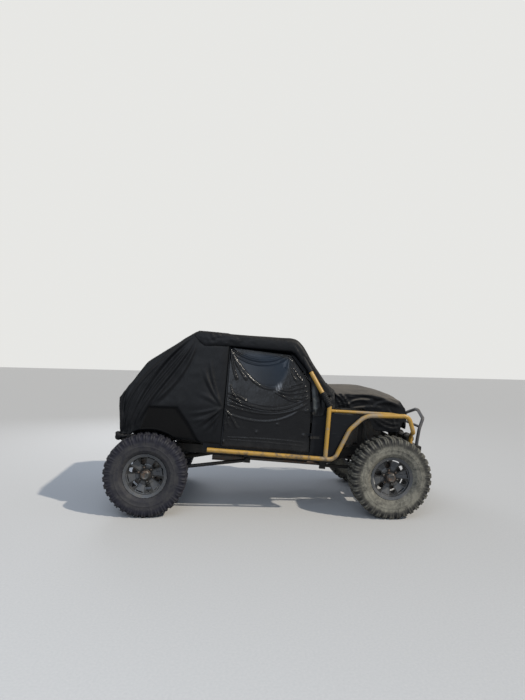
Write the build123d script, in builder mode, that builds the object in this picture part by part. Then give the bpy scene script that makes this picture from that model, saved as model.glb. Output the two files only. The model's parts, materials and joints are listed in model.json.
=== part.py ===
"""Compact off-road suv with an outside tube frame and black covers: a STEP file for each piece, in mm.

The ground is Z = 0, +X is forward, +Y is to the left, and the origin is under the middle of the whole length.
The body stands nose down on its axles, so its pieces are drawn in body coordinates u (forward), y (left) and
w (up), which the rake turns about the origin. Axles, wheels and springs are drawn in the ground's own axes.
"""

from build123d import *
from collections import namedtuple
from math import atan2, cos, degrees, hypot, radians, sin
import os

os.makedirs("parts", exist_ok=True)

# Wheels and axles
wheelbase = 2540.0
track = 1480.0
tyre_radius = 420.0
tyre_width = 300.0
bead_radius = 203.0
rim_half_width = 115.0
flange_height = 17.5
rim_wall = 8.0
hoop_lead = 575.0
spindle_radius = 28.0
running_clearance = 0.06
kingpin_inset = 140.0
kingpin_radius = 12.0
steering_arm = 155.0
axle_tube_radius = 40.0
diff_radius = 110.0
diff_offset = 150.0
seat_gap = 0.3

# Body stance and main widths
rake = 3.7
body_half = 740.0
roof_inset = 150.0
wall = 20.0
floor_thickness = 15.0
tube_radius = 22.5
tube_reach = 60.0
rail_y = 350.0
rail_width = 50.0
rail_height = 90.0
rail_w = 560.0
rail_kick = 130.0

# Heights in the body
floor_w = 625.0
bed_w = 705.0
sill_w = 680.0
belt_w = 1070.0
cowl_w = 1235.0
roof_w = 1780.0
cage_lift = 35.0
cage_spread = 25.0
cover_thickness = 4.0
cover_gap = 2.0

# Springs and links
spring_y = 440.0
spring_radius = 50.0
wire_radius = 7.0
spring_turns = 5.0
seat_height = 50.0
front_spring_length = 300.0
rear_spring_length = 260.0

# Doors
door_thickness = 45.0
door_gap = 6.0
door_drop = 74.0
hinge_reach = 26.0
hinge_pin = 5.0

roof_half = body_half - roof_inset
tube_y = body_half + tube_reach
cage_w = roof_w + cage_lift
cage_half = roof_half + cage_spread
hinge_y = body_half + hinge_reach

axle_z = tyre_radius
rear_x = (tyre_radius - wheelbase - hoop_lead) / 2
front_x = rear_x + wheelbase
wheel_y = track / 2
kingpin_y = wheel_y - kingpin_inset
front_end_x = front_x + hoop_lead
lean = radians(rake)


def at(u, y, w):
    """Place of a body point on the ground's axes: the body turned nose down by the rake about the origin."""
    return Vector(u * cos(lean) + w * sin(lean), y, w * cos(lean) - u * sin(lean))


def body_uw(x, z):
    """Body coordinates of a point given on the ground's axes."""
    return x * cos(lean) - z * sin(lean), x * sin(lean) + z * cos(lean)


forward = Vector(cos(lean), 0, -sin(lean))
upward = Vector(sin(lean), 0, cos(lean))


def side(y):
    """Sketch plane of the body seen from the right: local x is u and local y is w. It extrudes towards -Y."""
    return Plane(origin=(0, y, 0), x_dir=forward, z_dir=(0, -1, 0))


def deck(w):
    """Sketch plane along the body's floor at height w: local x is u and local y is y."""
    return Plane(origin=at(0, 0, w), x_dir=forward, z_dir=upward)


def across(u):
    """Sketch plane across the body at station u: local x is y, local y is w, and it extrudes forward."""
    return Plane(origin=at(u, 0, 0), x_dir=(0, 1, 0), z_dir=forward)


front_u = body_uw(front_x, axle_z)[0]
rear_u, rear_w = body_uw(rear_x, axle_z)

# Stations along the body, tied to the axle that each end belongs to
firewall_u = front_u - 693.0
door_front_u = firewall_u - 180.0
door_rear_u = door_front_u - 930.0
cab_rear_u = door_rear_u - 240.0
bed_end_u = rear_u - 298.0
nose_u = front_u + 312.0
bumper_u = nose_u + 150.0
rail_rear_u = rear_u - 220.0
step_u = rear_u + 572.0
hood_rear_u = firewall_u + 68.0


def panel(plane, points, thickness, mode=Mode.ADD):
    """Adds a flat piece with straight edges to the part being built, or cuts one from it."""
    with BuildSketch(plane) as outline:
        with BuildLine():
            Polyline(*points, close=True)
        make_face()
    extrude(outline.sketch, amount=thickness, mode=mode)


def block(u0, u1, y0, y1, w0, w1, mode=Mode.ADD):
    """Adds or cuts a box given by its body coordinates."""
    panel(side(max(y0, y1)), [(u0, w0), (u1, w0), (u1, w1), (u0, w1)], abs(y1 - y0), mode)


def rod(start, end, radius, mode=Mode.ADD):
    """Adds or cuts a round bar between two points on the ground's axes."""
    start, end = Vector(*start), Vector(*end)
    with BuildSketch(Plane(origin=start, z_dir=end - start)) as disc:
        Circle(radius)
    extrude(disc.sketch, amount=(end - start).length, mode=mode)


def tube(points, radius, bends, mode=Mode.ADD):
    """Adds or cuts a round tube along straight runs joined by tangent arcs."""
    with BuildLine() as path:
        if len(points) > 2:
            FilletPolyline(*points, radius=bends)
        else:
            Line(*points)
    with BuildSketch(Plane(origin=path.line @ 0, z_dir=path.line % 0)) as ring:
        Circle(radius)
    sweep(ring.sketch, path=path.line, mode=mode)


def save(piece, name):
    """Labels a finished piece and writes its STEP file."""
    piece.part.label = name
    export_step(piece.part, f"parts/{name}.step")


# Ladder frame: two box rails that rise over the front axle, cross-members and every bracket welded to them
rail_low = rail_w - rail_height / 2
rail_high = rail_w + rail_height / 2
rail_in = rail_y - rail_width / 2
rail_out = rail_y + rail_width / 2
kick_start = front_u - 560.0
kick_end = front_u - 300.0
front_spring_z = axle_z + seat_height + front_spring_length
rear_spring_z = axle_z + seat_height + rear_spring_length
front_shock_foot = Vector(front_x - 100, 455, axle_z - 10)
front_shock_head = Vector(front_x - 215, 455, axle_z + 540)
rear_shock_foot = Vector(rear_x - 110, 470, axle_z - 20)
rear_shock_head = Vector(rear_x - 110, 470, axle_z + 310)
arm_pivot = Vector(front_x - 640, 300, axle_z + 10)
arm_foot = Vector(front_x - 72, 300, axle_z - 20)
link_pivot = Vector(rear_x + 1045, 450, axle_z + 90)
link_foot = Vector(rear_x + 75, 450, axle_z - 25)
eye_half = 20.0
eye_radius = 24.0
plate = 8.0
cross_members = namedtuple("Cross", "u w half_u half_w")
crosses = [
    cross_members(rail_rear_u + 30, rail_w, 30, 40),
    cross_members(rear_u + 590, rail_w, 30, 30),
    cross_members(firewall_u - 530, rail_w - 37, 30, 20),
    cross_members(nose_u - 30, rail_w + rail_kick, 30, 35),
]
body_mounts = [rear_u - 60, rear_u + 640, firewall_u - 420, firewall_u - 60]
exhaust_y = -230.0
exhaust_w = 470.0
engine_u0 = firewall_u + 170
engine_u1 = firewall_u + 730
engine_half = 200.0
engine_w0 = 700.0
engine_w1 = 1180.0
mount_u = firewall_u + 450

with BuildPart() as frame_rails:
    panel(
        side(rail_out),
        [
            (rail_rear_u, rail_low), (kick_start, rail_low), (kick_end, rail_low + rail_kick),
            (nose_u, rail_low + rail_kick), (nose_u, rail_high + rail_kick),
            (kick_end, rail_high + rail_kick),
            (kick_start, rail_high), (rail_rear_u, rail_high),
        ],
        rail_width,
    )
    # front spring tower and its round seat
    u, w = body_uw(front_x, front_spring_z + 12)
    block(u - 70, u + 70, rail_out - 1, rail_out + plate, rail_w + rail_kick, w + plate)
    block(u - 70, u + 70, rail_out, spring_y + spring_radius + 14, w - 4, w + plate)
    with Locations((front_x, spring_y, front_spring_z + 8)):
        Cylinder(spring_radius + 10, 16)
    # rear spring tower
    u, w = body_uw(rear_x, rear_spring_z + 12)
    block(u - 70, u + 70, rail_out - 1, rail_out + plate, rail_w, w + plate)
    block(u - 70, u + 70, rail_out, spring_y + spring_radius + 14, w - 4, w + plate)
    with Locations((rear_x, spring_y, rear_spring_z + 8)):
        Cylinder(spring_radius + 10, 16)
    # shock hoops and brackets beside the upper eyes
    u, w = body_uw(front_shock_head.X, front_shock_head.Z)
    inner = front_shock_head.Y - eye_half
    block(u - 26, u + 26, rail_out - plate, rail_out, rail_w + rail_kick, w + 26)
    block(u - 26, u + 26, rail_out - plate, inner, w - 26, w + 26)
    u, w = body_uw(rear_shock_head.X, rear_shock_head.Z)
    block(u - 26, u + 26, rail_out - plate, rail_out, rail_w, w + 26)
    block(u - 26, u + 26, rail_out - plate, rear_shock_head.Y - eye_half, w - 26, w + 26)
    # radius arm and trailing link brackets
    u, w = body_uw(arm_pivot.X, arm_pivot.Z)
    block(u - 34, u + 34, arm_pivot.Y + eye_half, rail_y, w - 30, rail_w)
    u, w = body_uw(link_pivot.X, link_pivot.Z)
    block(u - 36, u + 36, rail_y, link_pivot.Y - eye_half, w - 34, rail_w)
    # engine mount arms and the rubber feet under the body
    block(mount_u - 40, mount_u + 40, engine_half, rail_in + 1, engine_w0, rail_high + rail_kick)
    for mount in body_mounts:
        top = bed_w if mount < step_u else floor_w
        rod(at(mount, rail_y, rail_high - 1), at(mount, rail_y, top), 20)
    mirror(about=Plane.XZ)
    # exhaust hanger under the gearbox member
    block(crosses[2].u - 12, crosses[2].u + 12, exhaust_y - 12, exhaust_y + 12, exhaust_w + 22 + seat_gap,
          crosses[2].w)
    for cross in crosses:
        block(cross.u - cross.half_u, cross.u + cross.half_u, -rail_in - 1, rail_in + 1,
              cross.w - cross.half_w, cross.w + cross.half_w)
save(frame_rails, "frame_rails")

# Front axle: tube, offset differential, yokes for the knuckles, spring seats and the radius arm brackets
yoke_z = 88.0
yoke_thickness = 24.0
yoke_half = 32.0
web_y = kingpin_y - 90.0
transfer_flange = at(firewall_u - 320, diff_offset, 585)
front_pinion = Vector(front_x - 175, diff_offset, axle_z)
front_shaft = (front_pinion - transfer_flange).normalized()
rear_flange = at(firewall_u - 640, 0, 585)
rear_pinion = Vector(rear_x + 175, 0, axle_z)
rear_shaft = (rear_pinion - rear_flange).normalized()

with BuildPart() as front_axle:
    with Locations((front_x, 0, axle_z)):
        Cylinder(axle_tube_radius, 2 * (web_y + 20), rotation=(90, 0, 0))
    with Locations((front_x, diff_offset, axle_z)):
        Sphere(diff_radius)
    rod(front_pinion, front_pinion + front_shaft * 30, 34)
    rod(front_pinion + front_shaft * 20, (front_x - 60, diff_offset, axle_z), 44)
    for hand in (-1, 1):
        with Locations((front_x, hand * (web_y + 10), axle_z)):
            Box(2 * yoke_half, 24, 2 * (yoke_z + yoke_thickness))
        for up in (-1, 1):
            with Locations((front_x, hand * (web_y + 50), axle_z + up * (yoke_z + yoke_thickness / 2))):
                Box(2 * yoke_half, 104, yoke_thickness)
            with Locations((front_x, hand * kingpin_y, axle_z + up * (yoke_z + yoke_thickness / 2))):
                Cylinder(yoke_half, yoke_thickness)
                Cylinder(kingpin_radius + running_clearance, yoke_thickness, mode=Mode.SUBTRACT)
        with Locations((front_x, hand * spring_y, axle_z + seat_height / 2)):
            Cylinder(32, seat_height)
        with Locations((front_x, hand * spring_y, axle_z + seat_height - 6)):
            Cylinder(spring_radius + 10, 12)
        with Locations((front_x - 55, hand * (front_shock_foot.Y - eye_half - plate / 2), axle_z - 8)):
            Box(140, plate, 56)
        with Locations((front_x - 50, hand * (arm_foot.Y + eye_half + plate / 2), axle_z - 15)):
            Box(100, plate, 70)
save(front_axle, "front_axle")

# Rear axle: tube, differential, spindles that carry the rear wheels, spring seats and link brackets
spindle_end = wheel_y + 58.0
with BuildPart() as rear_axle:
    with Locations((rear_x, 0, axle_z)):
        Cylinder(axle_tube_radius, 2 * (wheel_y - 75), rotation=(90, 0, 0))
        Cylinder(spindle_radius, 2 * spindle_end, rotation=(90, 0, 0))
        Sphere(diff_radius + 15)
    rod(rear_pinion, rear_pinion + rear_shaft * 30, 34)
    rod(rear_pinion + rear_shaft * 20, (rear_x + 60, 0, axle_z), 44)
    for hand in (-1, 1):
        with Locations((rear_x, hand * (wheel_y - 72), axle_z)):
            Cylinder(125, 8, rotation=(90, 0, 0))
        with Locations((rear_x, hand * spring_y, axle_z + seat_height / 2)):
            Cylinder(32, seat_height)
        with Locations((rear_x, hand * spring_y, axle_z + seat_height - 6)):
            Cylinder(spring_radius + 10, 12)
        with Locations((rear_x - 60, hand * (rear_shock_foot.Y - eye_half - plate / 2), axle_z - 14)):
            Box(150, plate, 60)
        with Locations((rear_x + 50, hand * (link_foot.Y - eye_half - plate / 2), axle_z - 18)):
            Box(110, plate, 66)
save(rear_axle, "rear_axle")

# Suspension links: two front radius arms and two rear trailing links, each a bar with an eye at both ends
link_table = namedtuple("Link", "start end radius")
links = [link_table(arm_pivot, arm_foot, 18.0), link_table(link_pivot, link_foot, 19.0)]
with BuildPart() as suspension_links:
    for link in links:
        rod(link.start, link.end, link.radius)
        for end in (link.start, link.end):
            with Locations(end):
                Cylinder(eye_radius, 2 * eye_half, rotation=(90, 0, 0))
    mirror(about=Plane.XZ)
save(suspension_links, "suspension_links")

# Coil springs, open wound, standing between their seats
spring_table = namedtuple("Spring", "x length")
springs = [spring_table(front_x, front_spring_length), spring_table(rear_x, rear_spring_length)]
with BuildPart() as coil_springs:
    for spring in springs:
        rise = spring.length - 2 * (wire_radius + seat_gap)
        foot = axle_z + seat_height + wire_radius + seat_gap
        with BuildLine() as coil:
            Helix(pitch=rise / spring_turns, height=rise, radius=spring_radius,
                  center=(spring.x, spring_y, foot))
        with BuildSketch(Plane(origin=coil.line @ 0, z_dir=coil.line % 0)):
            RegularPolygon(wire_radius, 8)
        sweep(is_frenet=True)
    mirror(about=Plane.XZ)
save(coil_springs, "coil_springs")

# Shock absorbers: body, rod and two eyes
with BuildPart() as shock_absorbers:
    for foot, head in ((front_shock_foot, front_shock_head), (rear_shock_foot, rear_shock_head)):
        rise = (head - foot).normalized()
        middle = foot + (head - foot) * 0.58
        rod(foot + rise * 45, middle, 26)
        rod(foot, head, 10)
        for end in (foot, head):
            with Locations(end):
                Cylinder(18, 2 * eye_half, rotation=(90, 0, 0))
    mirror(about=Plane.XZ)
save(shock_absorbers, "shock_absorbers")

# Gearbox with transfer case, and the engine as one plain block
with BuildPart() as gearbox:
    block(firewall_u - 345, engine_u0, -115, 115, 600, 800)
    block(firewall_u - 600, firewall_u - 345, -130, 130, rail_w - 17, 720)
    block(firewall_u - 600, firewall_u - 345, 100, 200, rail_w - 17, floor_w - 7)
    rod(transfer_flange - front_shaft * 45, transfer_flange, 34)
    rod(rear_flange - rear_shaft * 45, rear_flange, 34)
save(gearbox, "gearbox")

with BuildPart() as engine_block:
    block(engine_u0, engine_u1, -engine_half, engine_half, engine_w0, engine_w1)
save(engine_block, "engine_block")

with BuildPart() as driveshafts:
    rod(transfer_flange, front_pinion, 25)
    rod(rear_flange, rear_pinion, 28)
save(driveshafts, "driveshafts")

# Lower body: floor, firewall, sills, cowl sides, bed and rear wheel houses, hollow and open to the top
arch_points = namedtuple("Arch", "du dw")
rear_arch = [arch_points(543, 316), arch_points(399, 543), arch_points(259, 718), arch_points(-46, 703),
             arch_points(-131, 407)]
house_gap = 20.0
house_y = wheel_y - tyre_width / 2 - house_gap
hood_hinge_u = firewall_u + 52.0
hood_hinge_w = cowl_w + 62.0
hood_hinge_y = 450.0
house_wall = 15.0
tyre_clear = 50.0
tunnel_half = 165.0
tunnel_w = 830.0
with BuildPart() as body_tub:
    panel(
        side(body_half),
        [
            (firewall_u, floor_w), (firewall_u, cowl_w), (door_front_u + door_gap, cowl_w),
            (door_front_u + door_gap, sill_w - door_gap), (door_rear_u - door_gap, sill_w - door_gap),
            (door_rear_u - door_gap, belt_w), (bed_end_u, belt_w), (bed_end_u, bed_w),
            (step_u - wall, bed_w), (step_u - wall, floor_w),
        ],
        2 * body_half,
    )
    panel(
        side(body_half - wall),
        [
            (firewall_u - wall, floor_w + floor_thickness), (firewall_u - wall, cowl_w + 60),
            (bed_end_u + wall, cowl_w + 60), (bed_end_u + wall, bed_w + floor_thickness),
            (step_u, bed_w + floor_thickness), (step_u, floor_w + floor_thickness),
        ],
        2 * (body_half - wall),
        mode=Mode.SUBTRACT,
    )
    # cab back wall below the belt, inner sills and the gearbox tunnel
    block(cab_rear_u, cab_rear_u + wall, -(body_half - 5), body_half - 5, bed_w + 5, belt_w)
    for hand in (-1, 1):
        block(step_u, firewall_u - 5, hand * (body_half - 80), hand * (body_half - 5), floor_w,
              sill_w - door_gap)
    block(firewall_u - 640, firewall_u - 5, -tunnel_half, tunnel_half, floor_w, tunnel_w)
    block(firewall_u - 628, firewall_u + 5, -(tunnel_half - 12), tunnel_half - 12, floor_w - 5, tunnel_w - 12,
          Mode.SUBTRACT)
    # wheel houses: the arch outline with a skin around it, then the space for the tyre
    for hand in (-1, 1):
        for grow, depth, mode in ((house_wall, body_half - house_y + house_wall, Mode.ADD),
                                  (0, body_half - house_y + 5, Mode.SUBTRACT)):
            start = body_half - depth if mode == Mode.ADD else house_y
            with BuildSketch(side(start + depth if hand > 0 else -start)) as arch:
                with BuildLine():
                    Polyline(*[(rear_u + p.du, rear_w + p.dw) for p in rear_arch], close=True)
                make_face()
                with Locations((rear_u, rear_w)):
                    Circle(tyre_radius + tyre_clear)
                if grow:
                    offset(amount=grow)
                    with BuildLine():
                        Polyline((bed_end_u, bed_w), (step_u, bed_w), (step_u, belt_w), (bed_end_u, belt_w),
                                 close=True)
                    make_face(mode=Mode.INTERSECT)
            extrude(amount=depth, mode=mode)
    # fixed halves of the hood hinges on the cowl
    for hand in (-1, 1):
        panel(
            side(hand * hood_hinge_y + 10),
            [
                (firewall_u, cowl_w - 40), (firewall_u, cowl_w - 2), (hood_hinge_u - 11, hood_hinge_w + 4),
                (hood_hinge_u, hood_hinge_w + 11), (hood_hinge_u + 11, hood_hinge_w),
                (firewall_u + 30, cowl_w - 40),
            ],
            20,
        )
        rod(
            at(hood_hinge_u, hand * (hood_hinge_y + 9), hood_hinge_w),
            at(hood_hinge_u, hand * (hood_hinge_y + 36), hood_hinge_w), hinge_pin,
        )
save(body_tub, "body_tub")

# Fender panels between the front tubes
fender_y = tube_y - tube_radius - seat_gap
fender = namedtuple("Fender", "du w")
fender_line = [
    fender(-709, 652), fender(-711, 1112), fender(-330, 1112), fender(-406, 1026), fender(-476, 950),
    fender(-537, 800), fender(-584, 698), fender(-620, 660),
]
with BuildPart() as fender_panels:
    panel(side(fender_y), [(front_u + p.du, p.w) for p in fender_line], 4)
    mirror(about=Plane.XZ)
save(fender_panels, "fender_panels")

# Outer tubes of one side: rocker, fender arch, upright, upper fender tube and the end that runs in to the bumper
rocker_w = 636.0
stub_y = 375.0
bumper_w0 = rail_w + rail_kick - 5
bumper_w1 = bumper_w0 + 100
path_point = namedtuple("Path", "du y w")
arch_path = [
    path_point(-742, tube_y, rocker_w), path_point(-613, tube_y, rocker_w), path_point(-480, tube_y, 960),
    path_point(-325, tube_y, 1120), path_point(138, tube_y, 1152), path_point(200, tube_y, 985),
    path_point(335, stub_y, 905), path_point(335, stub_y, bumper_w1 + seat_gap),
]
upright_foot = -709.0
upright_head = path_point(-712, tube_y, 1164)
upper_y = tube_y - 78.0
upper_tube_radius = 17.0
upper_path = [
    path_point(-712, tube_y, 1143), path_point(-630, upper_y, 1133), path_point(-30, upper_y, 1150),
    path_point(70, tube_y - 12, 1146),
]
for hand, name in ((-1, "side_tubes_right"), (1, "side_tubes_left")):
    with BuildPart() as side_tubes:
        tube([at(front_u + p.du, hand * p.y, p.w) for p in arch_path], tube_radius,
             [90, 150, 200, 80, 60, 60])
        rod(at(rear_u + 598, hand * tube_y, rocker_w), at(front_u - 720, hand * tube_y, rocker_w),
            tube_radius)
        rod(at(front_u + upright_foot, hand * tube_y, rocker_w),
            at(front_u + upright_head.du, hand * tube_y, upright_head.w),
            tube_radius)
        tube([at(front_u + p.du, hand * p.y, p.w) for p in upper_path], upper_tube_radius, [40, 60])
        for u in (rear_u + 640, door_front_u - 200):
            block(u - 20, u + 20, hand * body_half, hand * tube_y, rocker_w - 12, rocker_w + 12)
    save(side_tubes, name)

# Cage over the cab: screen posts, roof rails, rear stays and cross bars
cage_bends = [40, 110, 110, 110]
stay_y = body_half - 100.0
bow_y = stay_y - 8.0
bow_u = rear_u - 70.0
bow_w = belt_w + 375.0


def cage_line(hand):
    """Corners of one side loop of the cage, from the foot of its screen post to the foot of its rear stay."""
    return [
        at(front_u + upright_head.du, hand * tube_y, upright_head.w + seat_gap),
        at(front_u + upright_head.du, hand * tube_y, upright_head.w + 26),
        at(firewall_u - 420, hand * cage_half, cage_w), at(cab_rear_u - 80, hand * cage_half, cage_w),
        at(bow_u, hand * bow_y, bow_w), at(bed_end_u + 35, hand * stay_y, belt_w + 30),
    ]


with BuildPart() as exo_cage:
    for hand in (-1, 1):
        tube(cage_line(hand), tube_radius, cage_bends)
        block(bed_end_u, bed_end_u + 70, hand * (stay_y - 40), hand * (stay_y + 50), belt_w, belt_w + 35)
    for u in (firewall_u - 505, door_rear_u + 60, cab_rear_u + 40):
        rod(at(u, -cage_half, cage_w), at(u, cage_half, cage_w), tube_radius)
    rod(at(bow_u + 3, -bow_y, bow_w - 3), at(bow_u + 3, bow_y, bow_w - 3), tube_radius)
save(exo_cage, "exo_cage")

# Upper cab: screen frame, roof, door pillars and back wall with its window
roof_thickness = 12.0
screen_foot = namedtuple("Station", "u w")(firewall_u - 30, cowl_w + 30)
screen_head = namedtuple("Station", "u w")(firewall_u - 470, roof_w - 10)
screen_slope = atan2(screen_head.w - screen_foot.w, screen_foot.u - screen_head.u)
screen_length = hypot(screen_head.w - screen_foot.w, screen_foot.u - screen_head.u)
screen_out = forward * sin(screen_slope) + upward * cos(screen_slope)
foot_half = body_half - 80.0
head_half = roof_half - 10.0
frame_width = 50.0
glass = 5.0
screen_plane = Plane(origin=at(screen_foot.u, 0, screen_foot.w), x_dir=(0, 1, 0), z_dir=screen_out)
with BuildPart() as cab_top:
    with BuildSketch(screen_plane) as screen_rim:
        with BuildLine():
            Polyline((-foot_half, 0), (foot_half, 0), (head_half, screen_length), (-head_half, screen_length),
                     close=True)
        make_face()
        with BuildLine():
            Polyline(
                (-foot_half + frame_width, frame_width), (foot_half - frame_width, frame_width),
                (head_half - frame_width, screen_length - frame_width),
                (-head_half + frame_width, screen_length - frame_width),
                close=True,
            )
        make_face(mode=Mode.SUBTRACT)
    extrude(amount=-40)
    block(screen_head.u - 20, cab_rear_u, -roof_half, roof_half, roof_w - roof_thickness, roof_w)
    # door pillars, leaning in like the doors, and the back wall
    for hand in (-1, 1):
        with BuildSketch(across(door_rear_u - door_gap)) as pillar:
            with BuildLine():
                Polyline(
                    (hand * (body_half - 2), belt_w), (hand * (body_half - 32), belt_w),
                    (hand * (roof_half - 30), roof_w), (hand * roof_half, roof_w), close=True,
                )
            make_face()
        extrude(amount=-(door_rear_u - door_gap - cab_rear_u))
    block(cab_rear_u, cab_rear_u + wall, -(roof_half - 10), roof_half - 10, belt_w, roof_w)
    block(cab_rear_u - 5, cab_rear_u + wall + 5, -470, 470, belt_w + 180, roof_w - 140, Mode.SUBTRACT)
    for hand in (-1, 1):
        with BuildSketch(across(cab_rear_u)) as corner:
            with BuildLine():
                Polyline(
                    (hand * (body_half - 3), belt_w), (hand * (roof_half - 20), belt_w),
                    (hand * (roof_half - 20), roof_w - 2), (hand * (roof_half - 1), roof_w - 2), close=True,
                )
            make_face()
        extrude(amount=wall)
    # screen frame feet on the cowl
    block(screen_foot.u - 60, firewall_u, -foot_half, foot_half, cowl_w, screen_foot.w + 12)
    block(screen_foot.u - 75, firewall_u - wall, -(foot_half - 30), foot_half - 30, cowl_w - 2,
          screen_foot.w - 6, Mode.SUBTRACT)
    # cowl panel up to the hood, notched round the hood hinges
    block(firewall_u - 1, hood_rear_u - door_gap, -(foot_half - 60), foot_half - 60, screen_foot.w - 3,
          screen_foot.w + 12)
    for hand in (-1, 1):
        block(firewall_u + 1, hood_rear_u, hand * (hood_hinge_y - 20), hand * (hood_hinge_y + 45), cowl_w,
              screen_foot.w + 20,
              Mode.SUBTRACT)
save(cab_top, "cab_top")

with BuildPart() as windscreen:
    inset = frame_width + seat_gap
    with BuildSketch(screen_plane.offset(-22)):
        with BuildLine():
            Polyline(
                (-foot_half + inset, inset), (foot_half - inset, inset),
                (head_half - inset, screen_length - inset), (-head_half + inset, screen_length - inset),
                close=True,
            )
        make_face()
    extrude(amount=glass)
save(windscreen, "windscreen")

# Inside: dashboard with column, steering wheel, two seats
dash_u = firewall_u - wall
seat_y = 330.0
with BuildPart() as dashboard:
    panel(
        side(body_half - 90),
        [(dash_u, cowl_w - 30), (dash_u - 210, cowl_w - 30), (dash_u - 260, cowl_w - 110),
         (dash_u - 200, cowl_w - 260), (dash_u, cowl_w - 260)],
        2 * (body_half - 90),
    )
    rod(at(dash_u - 180, seat_y, cowl_w - 160), at(dash_u - 330, seat_y, cowl_w - 125), 26)
save(dashboard, "dashboard")

column = at(dash_u - 330, seat_y, cowl_w - 125) - at(dash_u - 180, seat_y, cowl_w - 160)
with BuildPart() as steering_wheel:
    rim_plane = Plane(origin=at(dash_u - 330, seat_y, cowl_w - 125), z_dir=column)
    with BuildSketch(rim_plane):
        Circle(38)
    extrude(amount=34)
    with BuildSketch(rim_plane.offset(10)):
        Circle(186)
        Circle(166, mode=Mode.SUBTRACT)
        with PolarLocations(90, 3, start_angle=90):
            Rectangle(170, 26)
        Circle(20)
    extrude(amount=20)
save(steering_wheel, "steering_wheel")

seat_u = firewall_u - 960
seat_inner = seat_y - 160
seat_outer = seat_y + 240
box_top = floor_w + 150
cushion_top = floor_w + 300
back_inset = 15.0
back_outline = [
    (seat_u + 90, cushion_top), (seat_u - 20, cushion_top), (seat_u - 150, floor_w + 830),
    (seat_u - 60, floor_w + 850),
]
with BuildPart() as seats:
    for hand in (-1, 1):
        block(seat_u, seat_u + 480, hand * (seat_inner + 10), hand * (seat_outer - 10),
              floor_w + floor_thickness,
              box_top)
        block(seat_u - 20, seat_u + 500, hand * seat_inner, hand * seat_outer, box_top, cushion_top)
        left_face = max(hand * (seat_inner + back_inset), hand * (seat_outer - back_inset))
        panel(side(left_face), back_outline, seat_outer - seat_inner - 2 * back_inset)
save(seats, "seats")

# Hood: crowned panel with a short skirt, lofted through four cross-sections
hood_table = namedtuple("Hood", "u crown edge half")
hood_sections = [
    hood_table(hood_rear_u, 1358, 1312, body_half - 140),
    hood_table(front_u - 340, 1380, 1326, body_half - 144),
    hood_table(front_u - 215, 1386, 1328, body_half - 148),
    hood_table(front_u - 20, 1352, 1302, body_half - 158),
    hood_table(front_u + 110, 1316, 1276, body_half - 176),
    hood_table(front_u + 178, 1236, 1206, body_half - 200),
]
hood_skirt = 60.0
hood_thickness = 14.0


def crowned(sections, grow, drop):
    """Sketches of the crowned sections, each an arc over two short sides, grown on every side."""
    profiles = []
    for s in sections:
        with BuildSketch(across(s.u)) as section:
            with BuildLine():
                ThreePointArc((-s.half - grow, s.edge + grow), (0, s.crown + grow),
                              (s.half + grow, s.edge + grow))
                Polyline(
                    (s.half + grow, s.edge + grow), (s.half + grow, s.edge - drop),
                    (-s.half - grow, s.edge - drop),
                    (-s.half - grow, s.edge + grow),
                )
            make_face()
        profiles.append(section.sketch)
    return profiles


with BuildPart() as hood:
    loft(crowned(hood_sections, 0, hood_skirt), ruled=True)
    inner_sections = hood_sections[:-1] + [hood_sections[-1]._replace(u=hood_sections[-1].u - hood_thickness)]
    loft(crowned(inner_sections, -hood_thickness, hood_skirt + 5), ruled=True, mode=Mode.SUBTRACT)
    # moving halves of the hinges under the rear edge
    for hand in (-1, 1):
        near = hand * (hood_hinge_y + 10 + seat_gap)
        far = hand * (hood_hinge_y + 34)
        block(hood_hinge_u - 11, hood_hinge_u + 60, near, far, hood_hinge_w, hood_hinge_w + 20)
        rod(at(hood_hinge_u, near, hood_hinge_w), at(hood_hinge_u, far, hood_hinge_w), 11)
        rod(at(hood_hinge_u, near, hood_hinge_w), at(hood_hinge_u, far, hood_hinge_w),
            hinge_pin + running_clearance, Mode.SUBTRACT)
save(hood, "hood")

# Hood cover: the same crown grown by its gap, with a longer skirt and a front that hangs over the grille
cover_skirt = 155.0
drape = hood_sections + [hood_table(front_u + 206, 1152, 1130, body_half - 215)]
drape_inside = drape[:-1] + [drape[-1]._replace(u=drape[-1].u - cover_thickness)]
with BuildPart() as hood_cover:
    loft(crowned(drape, seat_gap + cover_thickness, cover_skirt), ruled=True)
    loft(crowned(drape_inside, seat_gap, cover_skirt + 5), ruled=True, mode=Mode.SUBTRACT)
save(hood_cover, "hood_cover")

# Front end: grille panel on the rails, headlights, bumper, winch and the hoop in front of it
grille_u = front_u + 146
grille_half = 420.0
grille_w0 = rail_high + rail_kick
grille_w1 = 1080.0
grille_sheet = 14.0
slot_half = 160.0
slot_rows = 6
slot_pitch = 36.0
slot_height = 22.0
slots_w = 850.0
with BuildPart() as grille_panel:
    block(grille_u, grille_u + grille_sheet, -grille_half, grille_half, grille_w0, grille_w1)
    for row in range(slot_rows):
        slot_w = slots_w + row * slot_pitch
        block(grille_u - 2, grille_u + grille_sheet + 2, -slot_half, slot_half, slot_w, slot_w + slot_height,
              Mode.SUBTRACT)
save(grille_panel, "grille_panel")

with BuildPart() as headlights:
    for hand in (-1, 1):
        with BuildSketch(across(grille_u + 14).shift_origin(at(grille_u + 14, hand * 262, 950))):
            Circle(80)
        extrude(amount=26)
    fillet(headlights.faces().sort_by(Axis.X)[-2:].edges(), 10)
save(headlights, "headlights")

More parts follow.
